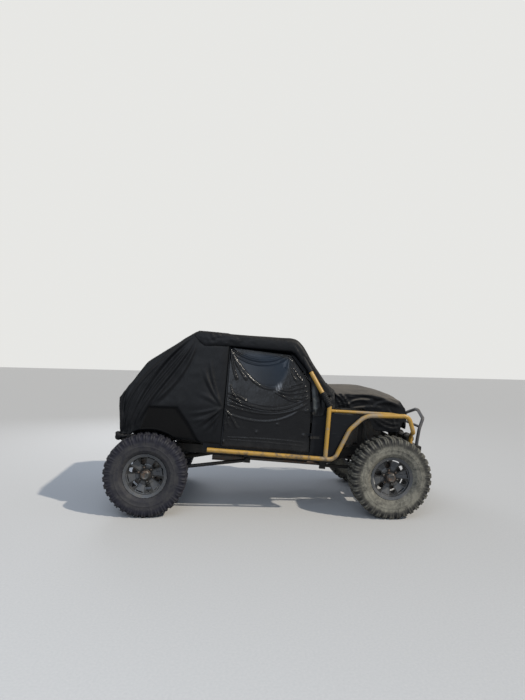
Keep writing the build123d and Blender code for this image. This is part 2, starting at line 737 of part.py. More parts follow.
bumper_half = 390.0
tow_u = bumper_u + 26.0
tow_w = bumper_w0 + 40.0
tow_y = 190.0
tow_plate = 20.0
tow_bore = 12.0
with BuildPart() as front_bumper:
    block(nose_u, bumper_u, -bumper_half, bumper_half, bumper_w0, bumper_w1)
    fillet(front_bumper.edges().filter_by(Axis.Y), 14)
    for hand in (-1, 1):
        with BuildSketch(side(hand * tow_y + tow_plate / 2)):
            with BuildLine():
                Polyline(
                    (bumper_u - 10, tow_w - 30), (tow_u, tow_w - 26), (tow_u, tow_w + 26),
                    (bumper_u - 10, tow_w + 30),
                    close=True,
                )
            make_face()
            with Locations((tow_u, tow_w)):
                Circle(26)
                Circle(tow_bore, mode=Mode.SUBTRACT)
        extrude(amount=tow_plate)
save(front_bumper, "front_bumper")

winch_u = nose_u + 62.0
winch_w = bumper_w1 + 56.0
with BuildPart() as winch:
    rod(at(winch_u, -150, winch_w), at(winch_u, 150, winch_w), 32)
    for hand in (-1, 1):
        rod(at(winch_u, hand * 110, winch_w), at(winch_u, hand * 122, winch_w), 52)
        rod(at(winch_u, hand * 122, winch_w), at(winch_u, hand * 250, winch_w), 44)
        block(winch_u - 30, winch_u + 30, hand * 120, hand * 236, bumper_w1, winch_w - 20)
save(winch, "winch")

# Hoop over the winch: two legs up from the bumper to a peak in the middle, with a cross tube at the knees
hoop_radius = 19.0
hoop_foot_u = bumper_u - 35.0
hoop_foot_y = 330.0
hoop_x = front_end_x - hoop_radius
hoop_point = namedtuple("Hoop", "dx y z")
hoop_side = [hoop_point(-85, hoop_foot_y, 870), hoop_point(-28, 282, 982), hoop_point(0, 46, 1050)]
with BuildPart() as front_hoop:
    half = [at(hoop_foot_u, hoop_foot_y, bumper_w1 + seat_gap), at(hoop_foot_u, hoop_foot_y, bumper_w1 + 45)]
    half += [Vector(hoop_x + p.dx, p.y, p.z) for p in hoop_side]
    tube([Vector(p.X, -p.Y, p.Z) for p in half] + half[::-1], hoop_radius, [60, 90, 45, 60, 60, 45, 90, 60])
    knee = hoop_side[0]
    rod((hoop_x + knee.dx, -knee.y, knee.z + 22), (hoop_x + knee.dx, knee.y, knee.z + 22), hoop_radius - 5)
save(front_hoop, "front_hoop")

# Rear end: bumper beam with its square receiver, lamps, fuel tank
receiver_half = 38.0
receiver_bore = 26.0
receiver_w = rail_low + 40.0
receiver_u = rail_rear_u - 195.0
pin_u = receiver_u + 35.0
pin_bore = 8.0
with BuildPart() as rear_bumper:
    block(rail_rear_u - 50, rail_rear_u, -560, 560, rail_low - 5, rail_high + 5)
    fillet(rear_bumper.edges().filter_by(Axis.Y), 14)
    block(receiver_u, rail_rear_u - 45, -receiver_half, receiver_half, receiver_w - receiver_half,
          receiver_w + receiver_half)
    block(receiver_u - 5, rail_rear_u - 60, -receiver_bore, receiver_bore, receiver_w - receiver_bore,
          receiver_w + receiver_bore,
          Mode.SUBTRACT)
    with Locations(at(pin_u, 0, receiver_w)):
        Cylinder(pin_bore, 4 * receiver_half, rotation=(90, 0, 0), mode=Mode.SUBTRACT)
save(rear_bumper, "rear_bumper")

with BuildPart() as tail_lamps:
    for hand in (-1, 1):
        block(bed_end_u - 18, bed_end_u, hand * (body_half - 140), hand * (body_half - 40), bed_w + 95,
              bed_w + 195)
save(tail_lamps, "tail_lamps")

with BuildPart() as fuel_tank:
    block(rear_u + 250, rear_u + 540, -280, 280, bed_w - 200, bed_w)
    fillet(fuel_tank.edges().filter_by(Axis.Y), 30)
save(fuel_tank, "fuel_tank")

# Exhaust: a pipe from the engine's right side under the floor to a silencer
with BuildPart() as exhaust:
    tube(
        [
            at(engine_u0 + 20, -engine_half + 30, engine_w0 - 24), at(engine_u0 - 60, exhaust_y, exhaust_w),
            at(firewall_u - 860, exhaust_y, exhaust_w),
        ],
        22,
        60,
    )
    rod(at(firewall_u - 860, exhaust_y, exhaust_w), at(firewall_u - 1190, exhaust_y, exhaust_w), 52)
save(exhaust, "exhaust")

# Doors: a lower shell with its frame above, leaning in over the belt, cut by the window
door_belt_w = 1117.0
door_top_w = roof_w - door_drop
door_lean = degrees(atan2(body_half - 2 - roof_half - 30, door_top_w - door_belt_w))
window_margin = 55.0
lower_outline = [
    (door_front_u - 2, sill_w), (door_front_u - 22, door_belt_w), (door_rear_u + 8, door_belt_w),
    (door_rear_u, sill_w),
]
frame_front = (firewall_u - 224, 1399.0)
frame_top = (firewall_u - 460, 1680.0)
upper_outline = [
    (door_front_u - 22, door_belt_w), frame_front, frame_top, (door_rear_u + 4, door_top_w),
    (door_rear_u + 8, door_belt_w),
]


def leaning(hand, out):
    """Plane of a door's upper frame on one side, turned inwards about the belt line from its outer face."""
    hinge = at(0, hand * (body_half + 2), door_belt_w)
    turned = Plane(
        origin=hinge, x_dir=forward,
        z_dir=Vector(0, hand * cos(radians(door_lean)), 0) + upward * sin(radians(door_lean)),
    )
    return turned.offset(out)


def frame_sketch_points(points, hand):
    """Outline on the leaning plane, whose local y runs up on the right side and down on the left."""
    rise = 1 / cos(radians(door_lean))
    return [(u, -hand * (w - door_belt_w) * rise) for u, w in points]


hinge_table = namedtuple("Hinge", "w")
hinges = [hinge_table(1110.0), hinge_table(855.0)]
hinge_half = 26.0
hinge_u = door_front_u + 2.0
for hand, name in ((-1, "door_right"), (1, "door_left")):
    outer = body_half + 2
    with BuildPart() as door:
        panel(side(hand * outer if hand > 0 else -(outer - door_thickness)), lower_outline, door_thickness)
        frame = frame_sketch_points(upper_outline, hand)
        with BuildSketch(leaning(hand, 0)) as upper:
            with BuildLine():
                Polyline(*frame, close=True)
            make_face()
            offset(amount=-window_margin, mode=Mode.SUBTRACT)
        extrude(amount=30, dir=leaning(hand, 0).z_dir * -1)
        # door halves of the hinges: strap and barrel above the body's barrel
        for hinge in hinges:
            block(hinge_u - 90, hinge_u - 8, hand * outer, hand * (outer + 6), hinge.w, hinge.w + hinge_half)
            with BuildSketch(deck(hinge.w)):
                with BuildLine():
                    Polyline(
                        (hinge_u - 20, hand * outer), (hinge_u - 20, hand * (outer + 10)),
                        (hinge_u - 6, hand * (hinge_y + 9)),
                        (hinge_u, hand * hinge_y), (hinge_u - 6, hand * outer), close=True,
                    )
                make_face()
                with Locations((hinge_u, hand * hinge_y)):
                    Circle(11)
            extrude(amount=hinge_half)
            with BuildSketch(deck(hinge.w - 1)):
                with Locations((hinge_u, hand * hinge_y)):
                    Circle(hinge_pin + running_clearance)
            extrude(amount=hinge_half + 2, mode=Mode.SUBTRACT)
    save(door, name)

# Hinge halves on the cowl sides, with the pins
with BuildPart() as door_hinges:
    for hand in (-1, 1):
        for hinge in hinges:
            block(hinge_u + 8, hinge_u + 90, hand * body_half, hand * (body_half + 6), hinge.w - hinge_half,
                  hinge.w - seat_gap)
            with BuildSketch(deck(hinge.w - hinge_half)):
                with BuildLine():
                    Polyline(
                        (hinge_u + 20, hand * body_half), (hinge_u + 20, hand * (body_half + 12)),
                        (hinge_u + 6, hand * (hinge_y + 9)),
                        (hinge_u, hand * hinge_y), (hinge_u + 8, hand * body_half), close=True,
                    )
                make_face()
                with Locations((hinge_u, hand * hinge_y)):
                    Circle(11)
            extrude(amount=hinge_half - seat_gap)
            with BuildSketch(deck(hinge.w - seat_gap)):
                with Locations((hinge_u, hand * hinge_y)):
                    Circle(hinge_pin)
            extrude(amount=hinge_half + seat_gap)
save(door_hinges, "door_hinges")

# Door glass in the frame and the film stretched over the outside of each door
film = 3.0
film_low_w = rocker_w + tube_radius + 8.0
for hand, name in ((-1, "right"), (1, "left")):
    with BuildPart() as door_glass:
        with BuildSketch(leaning(hand, -12)) as pane:
            with BuildLine():
                Polyline(*frame_sketch_points(upper_outline, hand), close=True)
            make_face()
            offset(amount=-(window_margin + seat_gap))
        extrude(amount=glass, dir=leaning(hand, 0).z_dir * -1)
    save(door_glass, f"door_glass_{name}")
    outer = body_half + 2
    with BuildPart() as door_film:
        lower = [
            (door_front_u - 4, film_low_w), (door_front_u - 4, door_belt_w), (door_rear_u + 8, door_belt_w),
            (door_rear_u + 2, film_low_w),
        ]
        panel(side(hand * outer + (film if hand > 0 else 0)), lower, film)
        with BuildSketch(leaning(hand, 0)) as upper:
            with BuildLine():
                Polyline(*frame_sketch_points(upper_outline, hand), close=True)
            make_face()
        extrude(amount=film, dir=leaning(hand, 0).z_dir)
        # slots that let the hinges through
        for hinge in hinges:
            block(hinge_u - 95, hinge_u + 5, hand * (outer - 1), hand * (outer + film + 2),
                  hinge.w - hinge_half - 4, hinge.w + hinge_half + 4, Mode.SUBTRACT)
    save(door_film, f"door_film_{name}")

# Covers over the cab and the bed: side profile and cross-section of the tent, each grown by the same amount
cover_top = cage_w + tube_radius + cover_gap
tent_half = body_half + 4.0
tent_low_w = 700.0
brow_w = door_top_w + 10.0
top_half = cage_half + tube_radius + cover_gap
cut_half = 1000.0
cut_end = 2500.0
cut_floor = 400.0
cut_top = 2000.0


def tent(profile, grow, section_half):
    """Adds the overlap of a side profile and a leaning cross-section, both grown by the same amount."""
    with BuildSketch(side(cut_half)) as outline:
        with BuildLine():
            Polyline(*profile, close=True)
        make_face()
        if grow:
            offset(amount=grow, kind=Kind.INTERSECTION)
    long_body = extrude(outline.sketch, amount=2 * cut_half, mode=Mode.PRIVATE)
    with BuildSketch(across(-cut_end)) as section:
        with BuildLine():
            Polyline(
                (-section_half, cut_floor), (-section_half, belt_w), (-top_half, cage_w + tube_radius),
                (top_half, cage_w + tube_radius), (section_half, belt_w), (section_half, cut_floor),
                close=True,
            )
        make_face()
        if grow:
            offset(amount=grow, kind=Kind.INTERSECTION)
    tall_body = extrude(section.sketch, amount=2 * cut_end, mode=Mode.PRIVATE)
    return long_body & tall_body


tail_u = bed_end_u - 42.0


def rear_profile(start, low):
    """Side profile of the rear cover, from a station near the doors over the bow and down to the tail."""
    return [
        (start, cover_top), (cab_rear_u - 105, cover_top), (bow_u - 24, bow_w + 24), (tail_u, belt_w + 8),
        (tail_u + 14, low),
        (start, low),
    ]


with BuildPart() as rear_cover:
    add(tent(rear_profile(door_rear_u - 4, tent_low_w - 10), cover_thickness, tent_half))
    add(tent(rear_profile(door_rear_u + 60, 500), 0, tent_half), mode=Mode.SUBTRACT)
    block(door_rear_u - 4, door_rear_u + 40, -cut_half, cut_half, cut_floor, cut_top, Mode.SUBTRACT)
    with BuildSketch(side(cut_half)) as hem:
        with BuildLine():
            Polyline(
                (bed_end_u - 200, cut_floor), (door_rear_u + 100, cut_floor), (door_rear_u + 100, film_low_w),
                (step_u - 40, film_low_w), (step_u - 100, tent_low_w), (bed_end_u - 200, tent_low_w),
                close=True,
            )
        make_face()
        with Locations((rear_u, rear_w)):
            Circle(tyre_radius + 22)
    extrude(amount=2 * cut_half, mode=Mode.SUBTRACT)
save(rear_cover, "rear_cover")

screen_profile = [
    (firewall_u - 440, cover_top), (firewall_u - 340, cover_top - 77), (firewall_u - 20, cowl_w + 132),
    (firewall_u + 4, cowl_w + 46),
]
with BuildPart() as roof_cover:
    skin = [(door_rear_u + 2, cover_top)] + screen_profile + [(door_rear_u + 2, cowl_w + 46)]
    add(tent(skin, cover_thickness, tent_half))
    inside = [
        (door_rear_u - 60, cover_top), *screen_profile, (firewall_u + 4, cowl_w - 60),
        (door_rear_u - 60, cowl_w - 60),
    ]
    add(tent(inside, 0, tent_half), mode=Mode.SUBTRACT)
    block(door_rear_u - 100, door_rear_u + 2, -cut_half, cut_half, door_belt_w - 17, cut_top, Mode.SUBTRACT)
    # the sides stay open where the doors are
    with BuildSketch(side(cut_half)) as opening:
        with BuildLine():
            Polyline(
                (door_rear_u - 100, door_belt_w - 17), (firewall_u - 150, door_belt_w - 17),
                (firewall_u - 150, frame_front[1]), (firewall_u - 420, brow_w), (door_rear_u - 100, brow_w),
                close=True,
            )
        make_face()
    extrude(amount=2 * cut_half, mode=Mode.SUBTRACT)
    # room for the cage's screen posts, which come out through the corners
    for hand in (-1, 1):
        tube(cage_line(hand), tube_radius + 1, cage_bends, Mode.SUBTRACT)
save(roof_cover, "roof_cover")

# Knuckles: body between the yoke's arms, ball pins, spindle and steering arm
knuckle_half_z = yoke_z - 2.0
arm_thickness = 20.0
rod_eye = 18.0
tie_pin = 8.0
for hand, name in ((-1, "knuckle_right"), (1, "knuckle_left")):
    with BuildPart() as knuckle:
        with Locations((front_x, hand * (kingpin_y + 4), axle_z)):
            Box(64, 56, 2 * knuckle_half_z)
        with Locations((front_x, hand * kingpin_y, axle_z)):
            Cylinder(kingpin_radius, 2 * (yoke_z + yoke_thickness - 1))
        rod((front_x, hand * (kingpin_y + 20), axle_z), (front_x, hand * spindle_end, axle_z), spindle_radius)
        rod((front_x, hand * (kingpin_y + 25), axle_z), (front_x, hand * (kingpin_y + 65), axle_z), 46)
        with Locations((front_x + steering_arm / 2, hand * kingpin_y, axle_z - 30)):
            Box(steering_arm, 28, arm_thickness)
        with Locations((front_x + steering_arm, hand * kingpin_y, axle_z - 30)):
            Cylinder(rod_eye, arm_thickness)
        with Locations((front_x + steering_arm, hand * kingpin_y, axle_z - 30 + arm_thickness)):
            Cylinder(tie_pin, arm_thickness + 10)
    save(knuckle, name)

# Tie rod between the two steering arms
rod_z = axle_z - 30 + arm_thickness + seat_gap
with BuildPart() as tie_rod:
    rod((front_x + steering_arm, -kingpin_y + 10, rod_z), (front_x + steering_arm, kingpin_y - 10, rod_z), 9)
    for hand, bore in ((-1, tie_pin + running_clearance), (1, tie_pin + 0.5)):
        with Locations((front_x + steering_arm, hand * kingpin_y, rod_z)):
            Cylinder(rod_eye, arm_thickness - 2 * seat_gap)
            Cylinder(bore, arm_thickness + 10, mode=Mode.SUBTRACT)
save(tie_rod, "tie_rod")

# Wheel pieces, each drawn once about its own axle: local Z points outwards and local X forward
profile = namedtuple("Profile", "r t")
barrel_radius = bead_radius - 3.0
barrel_inside = barrel_radius - rim_wall
tread_half = tyre_width / 2 - 3.0
lug_height = 15.0
lug_count = 34
lug_length = 44.0
tread_radius = tyre_radius - lug_height
lug_top = tyre_radius
# The carcass has one flat face for each lug, so radii are across its flats
outside = [
    profile(bead_radius + 150, tread_half), profile(tread_radius - 22, tread_half - 6),
    profile(tread_radius, tread_half - 28),
]
dish = [
    profile(bead_radius, 99.3), profile(bead_radius + flange_height + 4, 107),
    profile(bead_radius + 92, tread_half - 2),
    profile(bead_radius + 150, tread_half),
]
shoulder_lug = [
    profile(tread_radius - 4, 62), profile(lug_top, 62), profile(lug_top, tread_half - 30),
    profile(lug_top - 20, tread_half - 4),
    profile(tread_radius - 44, tread_half + 3), profile(tread_radius - 56, tread_half - 4),
    profile(tread_radius - 30, tread_half - 12),
]
middle_lug = [profile(tread_radius - 4, -42), profile(lug_top, -42), profile(lug_top, 42),
              profile(tread_radius - 4, 42)]


def turned(points):
    """Adds a ring turned about the wheel's axle from a closed outline of radius and outward distance."""
    with BuildSketch(Plane.XZ, mode=Mode.PRIVATE) as outline:
        with BuildLine():
            Polyline(*points, close=True)
        make_face()
    revolve(outline.sketch, axis=Axis.Z)


def faceted(points, mode=Mode.ADD):
    """Adds or cuts a many-sided drum lofted through rings, each a radius across flats and a distance."""
    rings = []
    for p in points:
        with BuildSketch(Plane.XY.offset(p.t), mode=Mode.PRIVATE) as ring:
            RegularPolygon(p.r, lug_count, major_radius=False, rotation=90)
        rings.append(ring.sketch)
    loft(rings, ruled=True, mode=mode)


def lugs(points, turn):
    """Adds one row of tread blocks: an outline of radius and distance, repeated round the tyre."""
    with BuildSketch(Plane.XZ, mode=Mode.PRIVATE) as outline:
        with BuildLine():
            Polyline(*[(p.r, p.t) for p in points], close=True)
        make_face()
    lug = extrude(outline.sketch, amount=lug_length / 2, both=True, mode=Mode.PRIVATE)
    with PolarLocations(0, lug_count, start_angle=turn):
        add(lug)


with BuildPart() as tyre_form:
    faceted([profile(p.r, -p.t) for p in outside] + outside[::-1])
    for hand in (-1, 1):
        faceted([profile(p.r, hand * p.t) for p in dish], Mode.SUBTRACT)
    Cylinder(bead_radius, 4 * tread_half, mode=Mode.SUBTRACT)
    lugs(shoulder_lug, 90)
    lugs([profile(p.r, -p.t) for p in shoulder_lug], 90)
    lugs(middle_lug, 90)

spoke_count = 6
spoke_turn = 12.0
hub_radius = 55.0
spoke_rise = 11.0
window_radius = 136.0
crescent_radius = 178.0
with BuildPart() as spoke_form:
    turned([
        (hub_radius + 10, 30), (105, 30), (barrel_inside + 2, 58), (barrel_inside + 2, 66 + spoke_rise),
        (112, 40 + spoke_rise),
        (hub_radius + 10, 34 + spoke_rise),
    ])
    with BuildSketch():
        with PolarLocations(0, spoke_count, start_angle=spoke_turn):
            with BuildLine():
                Polyline((hub_radius, -17), (barrel_inside + 8, -40), (barrel_inside + 8, 40),
                         (hub_radius, 17), close=True)
            make_face()
    extrude(amount=120, mode=Mode.INTERSECT)

with BuildPart() as rim_form:
    flange = bead_radius + flange_height
    turned([
        (barrel_radius, -96), (bead_radius - seat_gap, -99.7), (flange, -108), (flange, -rim_half_width),
        (barrel_inside, -104),
        (barrel_inside, 104), (flange, rim_half_width), (flange, 108), (bead_radius - seat_gap, 99.7),
        (barrel_radius, 96),
    ])
    turned([
        (hub_radius + 0.1, 20), (100, 20), (barrel_inside + 2, 48), (barrel_inside + 2, 66), (108, 38),
        (96, 42), (hub_radius + 0.1, 42),
    ])
    add(spoke_form.part)
    with BuildSketch():
        with PolarLocations(0, spoke_count, start_angle=spoke_turn + 180 / spoke_count):
            with Locations((window_radius, 0)):
                Ellipse(43, 27)
        with PolarLocations(0, spoke_count, start_angle=spoke_turn):
            SlotArc(CenterArc((0, 0), crescent_radius, -11, 22), 13)
    extrude(amount=120, mode=Mode.SUBTRACT)

with BuildPart() as hub_form:
    bore = spindle_radius + running_clearance
    turned([
        (bore, -60), (60, -60), (60, -50), (150, -50), (150, -32), (75, -32), (75, 19.9), (hub_radius, 19.9),
        (hub_radius, 44),
        (50, 52), (46, 92), (38, 102), (0, 104), (0, 60), (bore, 60),
    ])

# The same three pieces at all four corners
corner_table = namedtuple("Corner", "name x hand")
corners = [
    corner_table("front_right", front_x, -1), corner_table("front_left", front_x, 1),
    corner_table("rear_right", rear_x, -1), corner_table("rear_left", rear_x, 1),
]
for corner in corners:
    seat = Location((corner.x, corner.hand * wheel_y, axle_z), (-90 * corner.hand, 0, 0))
    for form, name in ((tyre_form, "tyre"), (rim_form, "rim"), (hub_form, "hub")):
        with BuildPart() as piece:
            with Locations(seat):
                add(form.part)
        save(piece, f"{name}_{corner.name}")
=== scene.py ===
import json
import math

import bmesh
import bpy
import numpy as np
from mathutils import Matrix, Vector

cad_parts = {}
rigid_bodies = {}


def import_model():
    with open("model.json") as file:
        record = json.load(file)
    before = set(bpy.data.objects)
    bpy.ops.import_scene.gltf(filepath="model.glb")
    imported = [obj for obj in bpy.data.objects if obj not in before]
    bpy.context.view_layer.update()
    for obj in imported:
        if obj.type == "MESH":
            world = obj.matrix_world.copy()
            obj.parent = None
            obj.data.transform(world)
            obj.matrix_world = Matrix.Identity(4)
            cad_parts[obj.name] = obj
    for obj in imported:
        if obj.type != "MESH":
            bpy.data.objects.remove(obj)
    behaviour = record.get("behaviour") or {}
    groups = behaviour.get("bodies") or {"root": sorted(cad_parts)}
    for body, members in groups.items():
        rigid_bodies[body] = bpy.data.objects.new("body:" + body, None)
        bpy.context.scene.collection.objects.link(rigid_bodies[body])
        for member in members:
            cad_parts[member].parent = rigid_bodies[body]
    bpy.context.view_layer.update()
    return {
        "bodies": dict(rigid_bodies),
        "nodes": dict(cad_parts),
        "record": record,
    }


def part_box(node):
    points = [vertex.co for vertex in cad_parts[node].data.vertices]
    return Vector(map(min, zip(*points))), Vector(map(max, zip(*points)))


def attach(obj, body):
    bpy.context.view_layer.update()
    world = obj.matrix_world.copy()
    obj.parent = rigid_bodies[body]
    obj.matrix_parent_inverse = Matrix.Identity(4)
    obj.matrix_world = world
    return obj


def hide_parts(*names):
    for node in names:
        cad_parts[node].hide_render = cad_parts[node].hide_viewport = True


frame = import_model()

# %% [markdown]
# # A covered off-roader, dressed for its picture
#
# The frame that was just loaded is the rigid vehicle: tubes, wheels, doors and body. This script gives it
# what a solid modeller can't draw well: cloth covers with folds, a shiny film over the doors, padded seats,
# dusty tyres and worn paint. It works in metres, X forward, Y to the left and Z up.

BODIES = sorted(frame["bodies"])
HANDS = {"right": -1, "left": 1}
CORNERS = [f"{end}_{hand}" for end in ("front", "rear") for hand in HANDS]
print("bodies:", BODIES)
print("nodes:", len(frame["nodes"]))

# %% [markdown]
# The body stands nose down on its axles. The part's source draws it in body coordinates u (forward),
# y (left) and w (up), turned by the rake, so the covers are worked out in the same coordinates here.

# %% Body coordinates and the stations along the body
RAKE = math.radians(3.7)
SIN, COS = math.sin(RAKE), math.cos(RAKE)


def centre(node):
    """Middle of a node's box, in metres."""
    low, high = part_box(node)
    return (np.array(low) + np.array(high)) / 2


def to_world(u, y, w):
    """Body coordinates to the ground's axes: a turn about Y by the rake. Takes numbers or arrays."""
    u, y, w = np.broadcast_arrays(*(np.asarray(v, float) for v in (u, y, w)))
    return np.stack([u * COS + w * SIN, y, w * COS - u * SIN], -1)


def to_body(points):
    """The ground's axes back to body coordinates: the same turn the other way."""
    x, y, z = points[..., 0], points[..., 1], points[..., 2]
    return np.stack([x * COS - z * SIN, y, x * SIN + z * COS], -1)


FRONT_WHEEL = centre("tyre_front_right")
REAR_WHEEL = centre("tyre_rear_right")
TYRE_RADIUS, TUBE_RADIUS = 0.420, 0.0225
BODY_HALF = 0.740
ROOF_W, BELT_W, COWL_W = 1.780, 1.070, 1.235
CAGE_W, CAGE_HALF = ROOF_W + 0.035, BODY_HALF - 0.125
FRONT_U = to_body(FRONT_WHEEL)[0]
REAR_U = to_body(REAR_WHEEL)[0]
FIREWALL_U = FRONT_U - 0.693
DOOR_FRONT_U = FIREWALL_U - 0.180
DOOR_REAR_U = DOOR_FRONT_U - 0.930
CAB_REAR_U = DOOR_REAR_U - 0.240
BED_END_U = REAR_U - 0.298
HOOD_REAR_U = FIREWALL_U + 0.068
print("axles at u", round(float(FRONT_U), 4), round(float(REAR_U), 4))

# %% [markdown]
# The camera stands where the photographer stood. Its place was worked out from the two near wheels and
# the body's straight lines: a pinhole lens whose long side sees 36 mm of film at 27 mm.

# %% Camera
CAMERA_AT = (-0.5539, -6.2083, 1.7389)
YAW, PITCH, ROLL = (math.radians(a) for a in (3.853, -0.189, 1.581))
FILM_WIDTH = 36.0
FOCAL_SHARE = 526 / 700  # focal length over the picture's long side

forward = Vector((math.sin(YAW) * math.cos(PITCH), math.cos(YAW) * math.cos(PITCH), math.sin(PITCH)))
level = Vector((math.cos(YAW), -math.sin(YAW), 0.0))
upright = level.cross(forward)
right = level * math.cos(ROLL) + upright * math.sin(ROLL)
above = -level * math.sin(ROLL) + upright * math.cos(ROLL)
lens = bpy.data.cameras.new("camera")
lens.sensor_width = FILM_WIDTH
lens.lens = FOCAL_SHARE * FILM_WIDTH
camera = bpy.data.objects.new("camera", lens)
bpy.context.scene.collection.objects.link(camera)
camera.matrix_world = Matrix.Translation(CAMERA_AT) @ Matrix((right, above, -forward)).transposed().to_4x4()
bpy.context.scene.camera = camera
bpy.context.scene.view_settings.view_transform = "Standard"

# %% [markdown]
# Materials are written as sums. A small class wraps a socket of the shader graph, so `1 - mask` or
# `a * 0.5 + b` adds the Math nodes by itself, and every other node comes from one method.


# %% A socket that can be added and multiplied
class Value:
    """A number that varies over a surface: one output socket, with arithmetic."""

    def __init__(self, paint, socket):
        self.paint, self.socket = paint, socket

    def _with(self, operation, first, second=None, clamp=False):
        given = {0: first} if second is None else {0: first, 1: second}
        return self.paint.node("ShaderNodeMath", {"operation": operation, "use_clamp": clamp}, given)

    def __add__(self, other):
        return self._with("ADD", self, other)

    def __radd__(self, other):
        return self._with("ADD", other, self)

    def __sub__(self, other):
        return self._with("SUBTRACT", self, other)

    def __rsub__(self, other):
        return self._with("SUBTRACT", other, self)

    def __mul__(self, other):
        return self._with("MULTIPLY", self, other)

    def __rmul__(self, other):
        return self._with("MULTIPLY", other, self)

    def clamped(self):
        """The value kept between 0 and 1."""
        return self._with("ADD", self, 0.0, clamp=True)

    def step(self, low, high):
        """0 below low, 1 above high, smooth between."""
        settings = {"interpolation_type": "SMOOTHSTEP"}
        return self.paint.node("ShaderNodeMapRange", settings, {"Value": self, "From Min": low, "From Max": high})


print("a value has:", [name for name in vars(Value) if not name.startswith("_")])

# %% [markdown]
# The second class is the material itself. Each method stands for one node or for a small group that recurs,
# so a finish reads as a list of noises, masks and mixes. The same graph could be drawn by hand in the shader
# editor, but there a change of scale in twelve materials would be twelve edits.


# %% A material that makes nodes
class Paint:
    """A material: node() adds a node, and surface() sets the main shader."""

    def __init__(self, name):
        self.material = bpy.data.materials.new(name)
        self.material.use_nodes = True
        self.tree = self.material.node_tree
        self.shader = self.tree.nodes["Principled BSDF"]

    def node(self, kind, settings=None, given=None, out=0):
        """Adds a node of that kind: settings first, then values or links for its sockets. Returns an output."""
        new = self.tree.nodes.new(kind)
        for key, value in (settings or {}).items():
            setattr(new, key, value)
        for key, value in (given or {}).items():
            self.plug(value, new.inputs[key])
        return Value(self, new.outputs[out])

    def plug(self, value, socket):
        """Links a Value, or sets a constant."""
        if isinstance(value, Value):
            self.tree.links.new(value.socket, socket)
        elif hasattr(value, "__len__") and socket.type == "RGBA":
            socket.default_value = (*value, 1.0)
        else:
            socket.default_value = value

    def place(self, scale=(1, 1, 1), uv=False):
        """Object coordinates in metres, or the piece's own UV map in metres, scaled."""
        source = self.node("ShaderNodeTexCoord", out="UV" if uv else "Object")
        return self.node("ShaderNodeMapping", None, {"Vector": source, "Scale": scale})

    def part(self, axis, of=None):
        """X, Y or Z (0, 1 or 2) of a vector, or of the place on the piece."""
        return self.node("ShaderNodeSeparateXYZ", None, {0: of or self.place()}, out=axis)

    def upward(self):
        """How far the surface faces up: the height part of its normal."""
        return self.part(2, self.node("ShaderNodeNewGeometry", out="Normal"))

    def mask(self, name):
        """A value kept at each point of the piece's mesh, and 0 where the piece has none of that name."""
        return self.node("ShaderNodeAttribute", {"attribute_name": name}, out="Fac")

    def noise(self, scale, detail=4.0, roughness=0.55, at=None, distortion=0.0):
        """Cloudy noise from 0 to 1 whose blotches are about 1 / scale metres wide."""
        given = {"Scale": scale, "Detail": detail, "Roughness": roughness, "Distortion": distortion}
        return self.node("ShaderNodeTexNoise", {"noise_dimensions": "3D"}, {**given, "Vector": at or self.place()})

    def mix(self, factor, first, second):
        """Colour between first and second by factor."""
        given = {"Factor": factor, 6: first, 7: second}
        return self.node("ShaderNodeMix", {"data_type": "RGBA"}, given, out=2)

    def edges(self, reach):
        """1 at sharp corners and 0 on flat ground: how far a normal rounded by reach turns from the true one."""
        rounded = self.node("ShaderNodeBevel", {"samples": 4}, {"Radius": reach})
        true = self.node("ShaderNodeNewGeometry", out="Normal")
        dot = self.node("ShaderNodeVectorMath", {"operation": "DOT_PRODUCT"}, {0: rounded, 1: true}, out="Value")
        return (1 - dot).step(0.01, 0.12)

    def bump(self, height, strength, distance, before=None):
        """A Bump node's normal from a height in units of distance."""
        given = {"Height": height, "Strength": strength, "Distance": distance}
        if before is not None:
            given["Normal"] = before
        return self.node("ShaderNodeBump", None, given)

    def surface(self, **sockets):
        """Sets the shader's sockets by name, with _ for a space."""
        for key, value in sockets.items():
            self.plug(value, self.shader.inputs[key.replace("_", " ")])
        return self.material


print("a paint has:", [name for name in vars(Paint) if not name.startswith("_")])

# %% [markdown]
# Sun and sky at a plain level: one sun from the front right, two large soft lamps for the sky, and a pale
# world. The backdrop's paleness is its own colour, seen by the camera and by reflections only. One sky
# texture would be simpler, but black cloth needs broad soft lamps to show its folds.

# %% Light
SKY_COLOUR, SKY_STRENGTH, BACKDROP = (0.55, 0.66, 0.85, 1), 0.55, (0.80, 0.80, 0.78, 1)
world = bpy.data.worlds.new("world")
bpy.context.scene.world = world
world.use_nodes = True
tree = world.node_tree
seen, backdrop, choose = (tree.nodes.new("ShaderNode" + kind) for kind in ("LightPath", "Background", "MixShader"))
sky = tree.nodes["Background"]
sky.inputs["Color"].default_value, sky.inputs["Strength"].default_value = SKY_COLOUR, SKY_STRENGTH
backdrop.inputs["Color"].default_value = BACKDROP
shown = seen.outputs["Is Camera Ray"]
for ray in ("Is Glossy Ray", "Is Transmission Ray"):
    either = tree.nodes.new("ShaderNodeMath")
    either.operation = "MAXIMUM"
    tree.links.new(shown, either.inputs[0])
    tree.links.new(seen.outputs[ray], either.inputs[1])
    shown = either.outputs[0]
for socket, source in enumerate((shown, sky.outputs[0], backdrop.outputs[0])):
    tree.links.new(source, choose.inputs[socket])
tree.links.new(choose.outputs[0], tree.nodes["World Output"].inputs["Surface"])


def lamp(name, kind, place, target, colour, **settings):
    """A lamp at place that faces target, with its own settings."""
    data = bpy.data.lights.new(name, kind)
    data.color = colour
    for key, value in settings.items():
        setattr(data, key, value)
    light = bpy.data.objects.new(name, data)
    bpy.context.scene.collection.objects.link(light)
    aim = (Vector(target) - Vector(place)).to_track_quat("-Z", "Y")
    light.matrix_world = Matrix.Translation(place) @ aim.to_matrix().to_4x4()


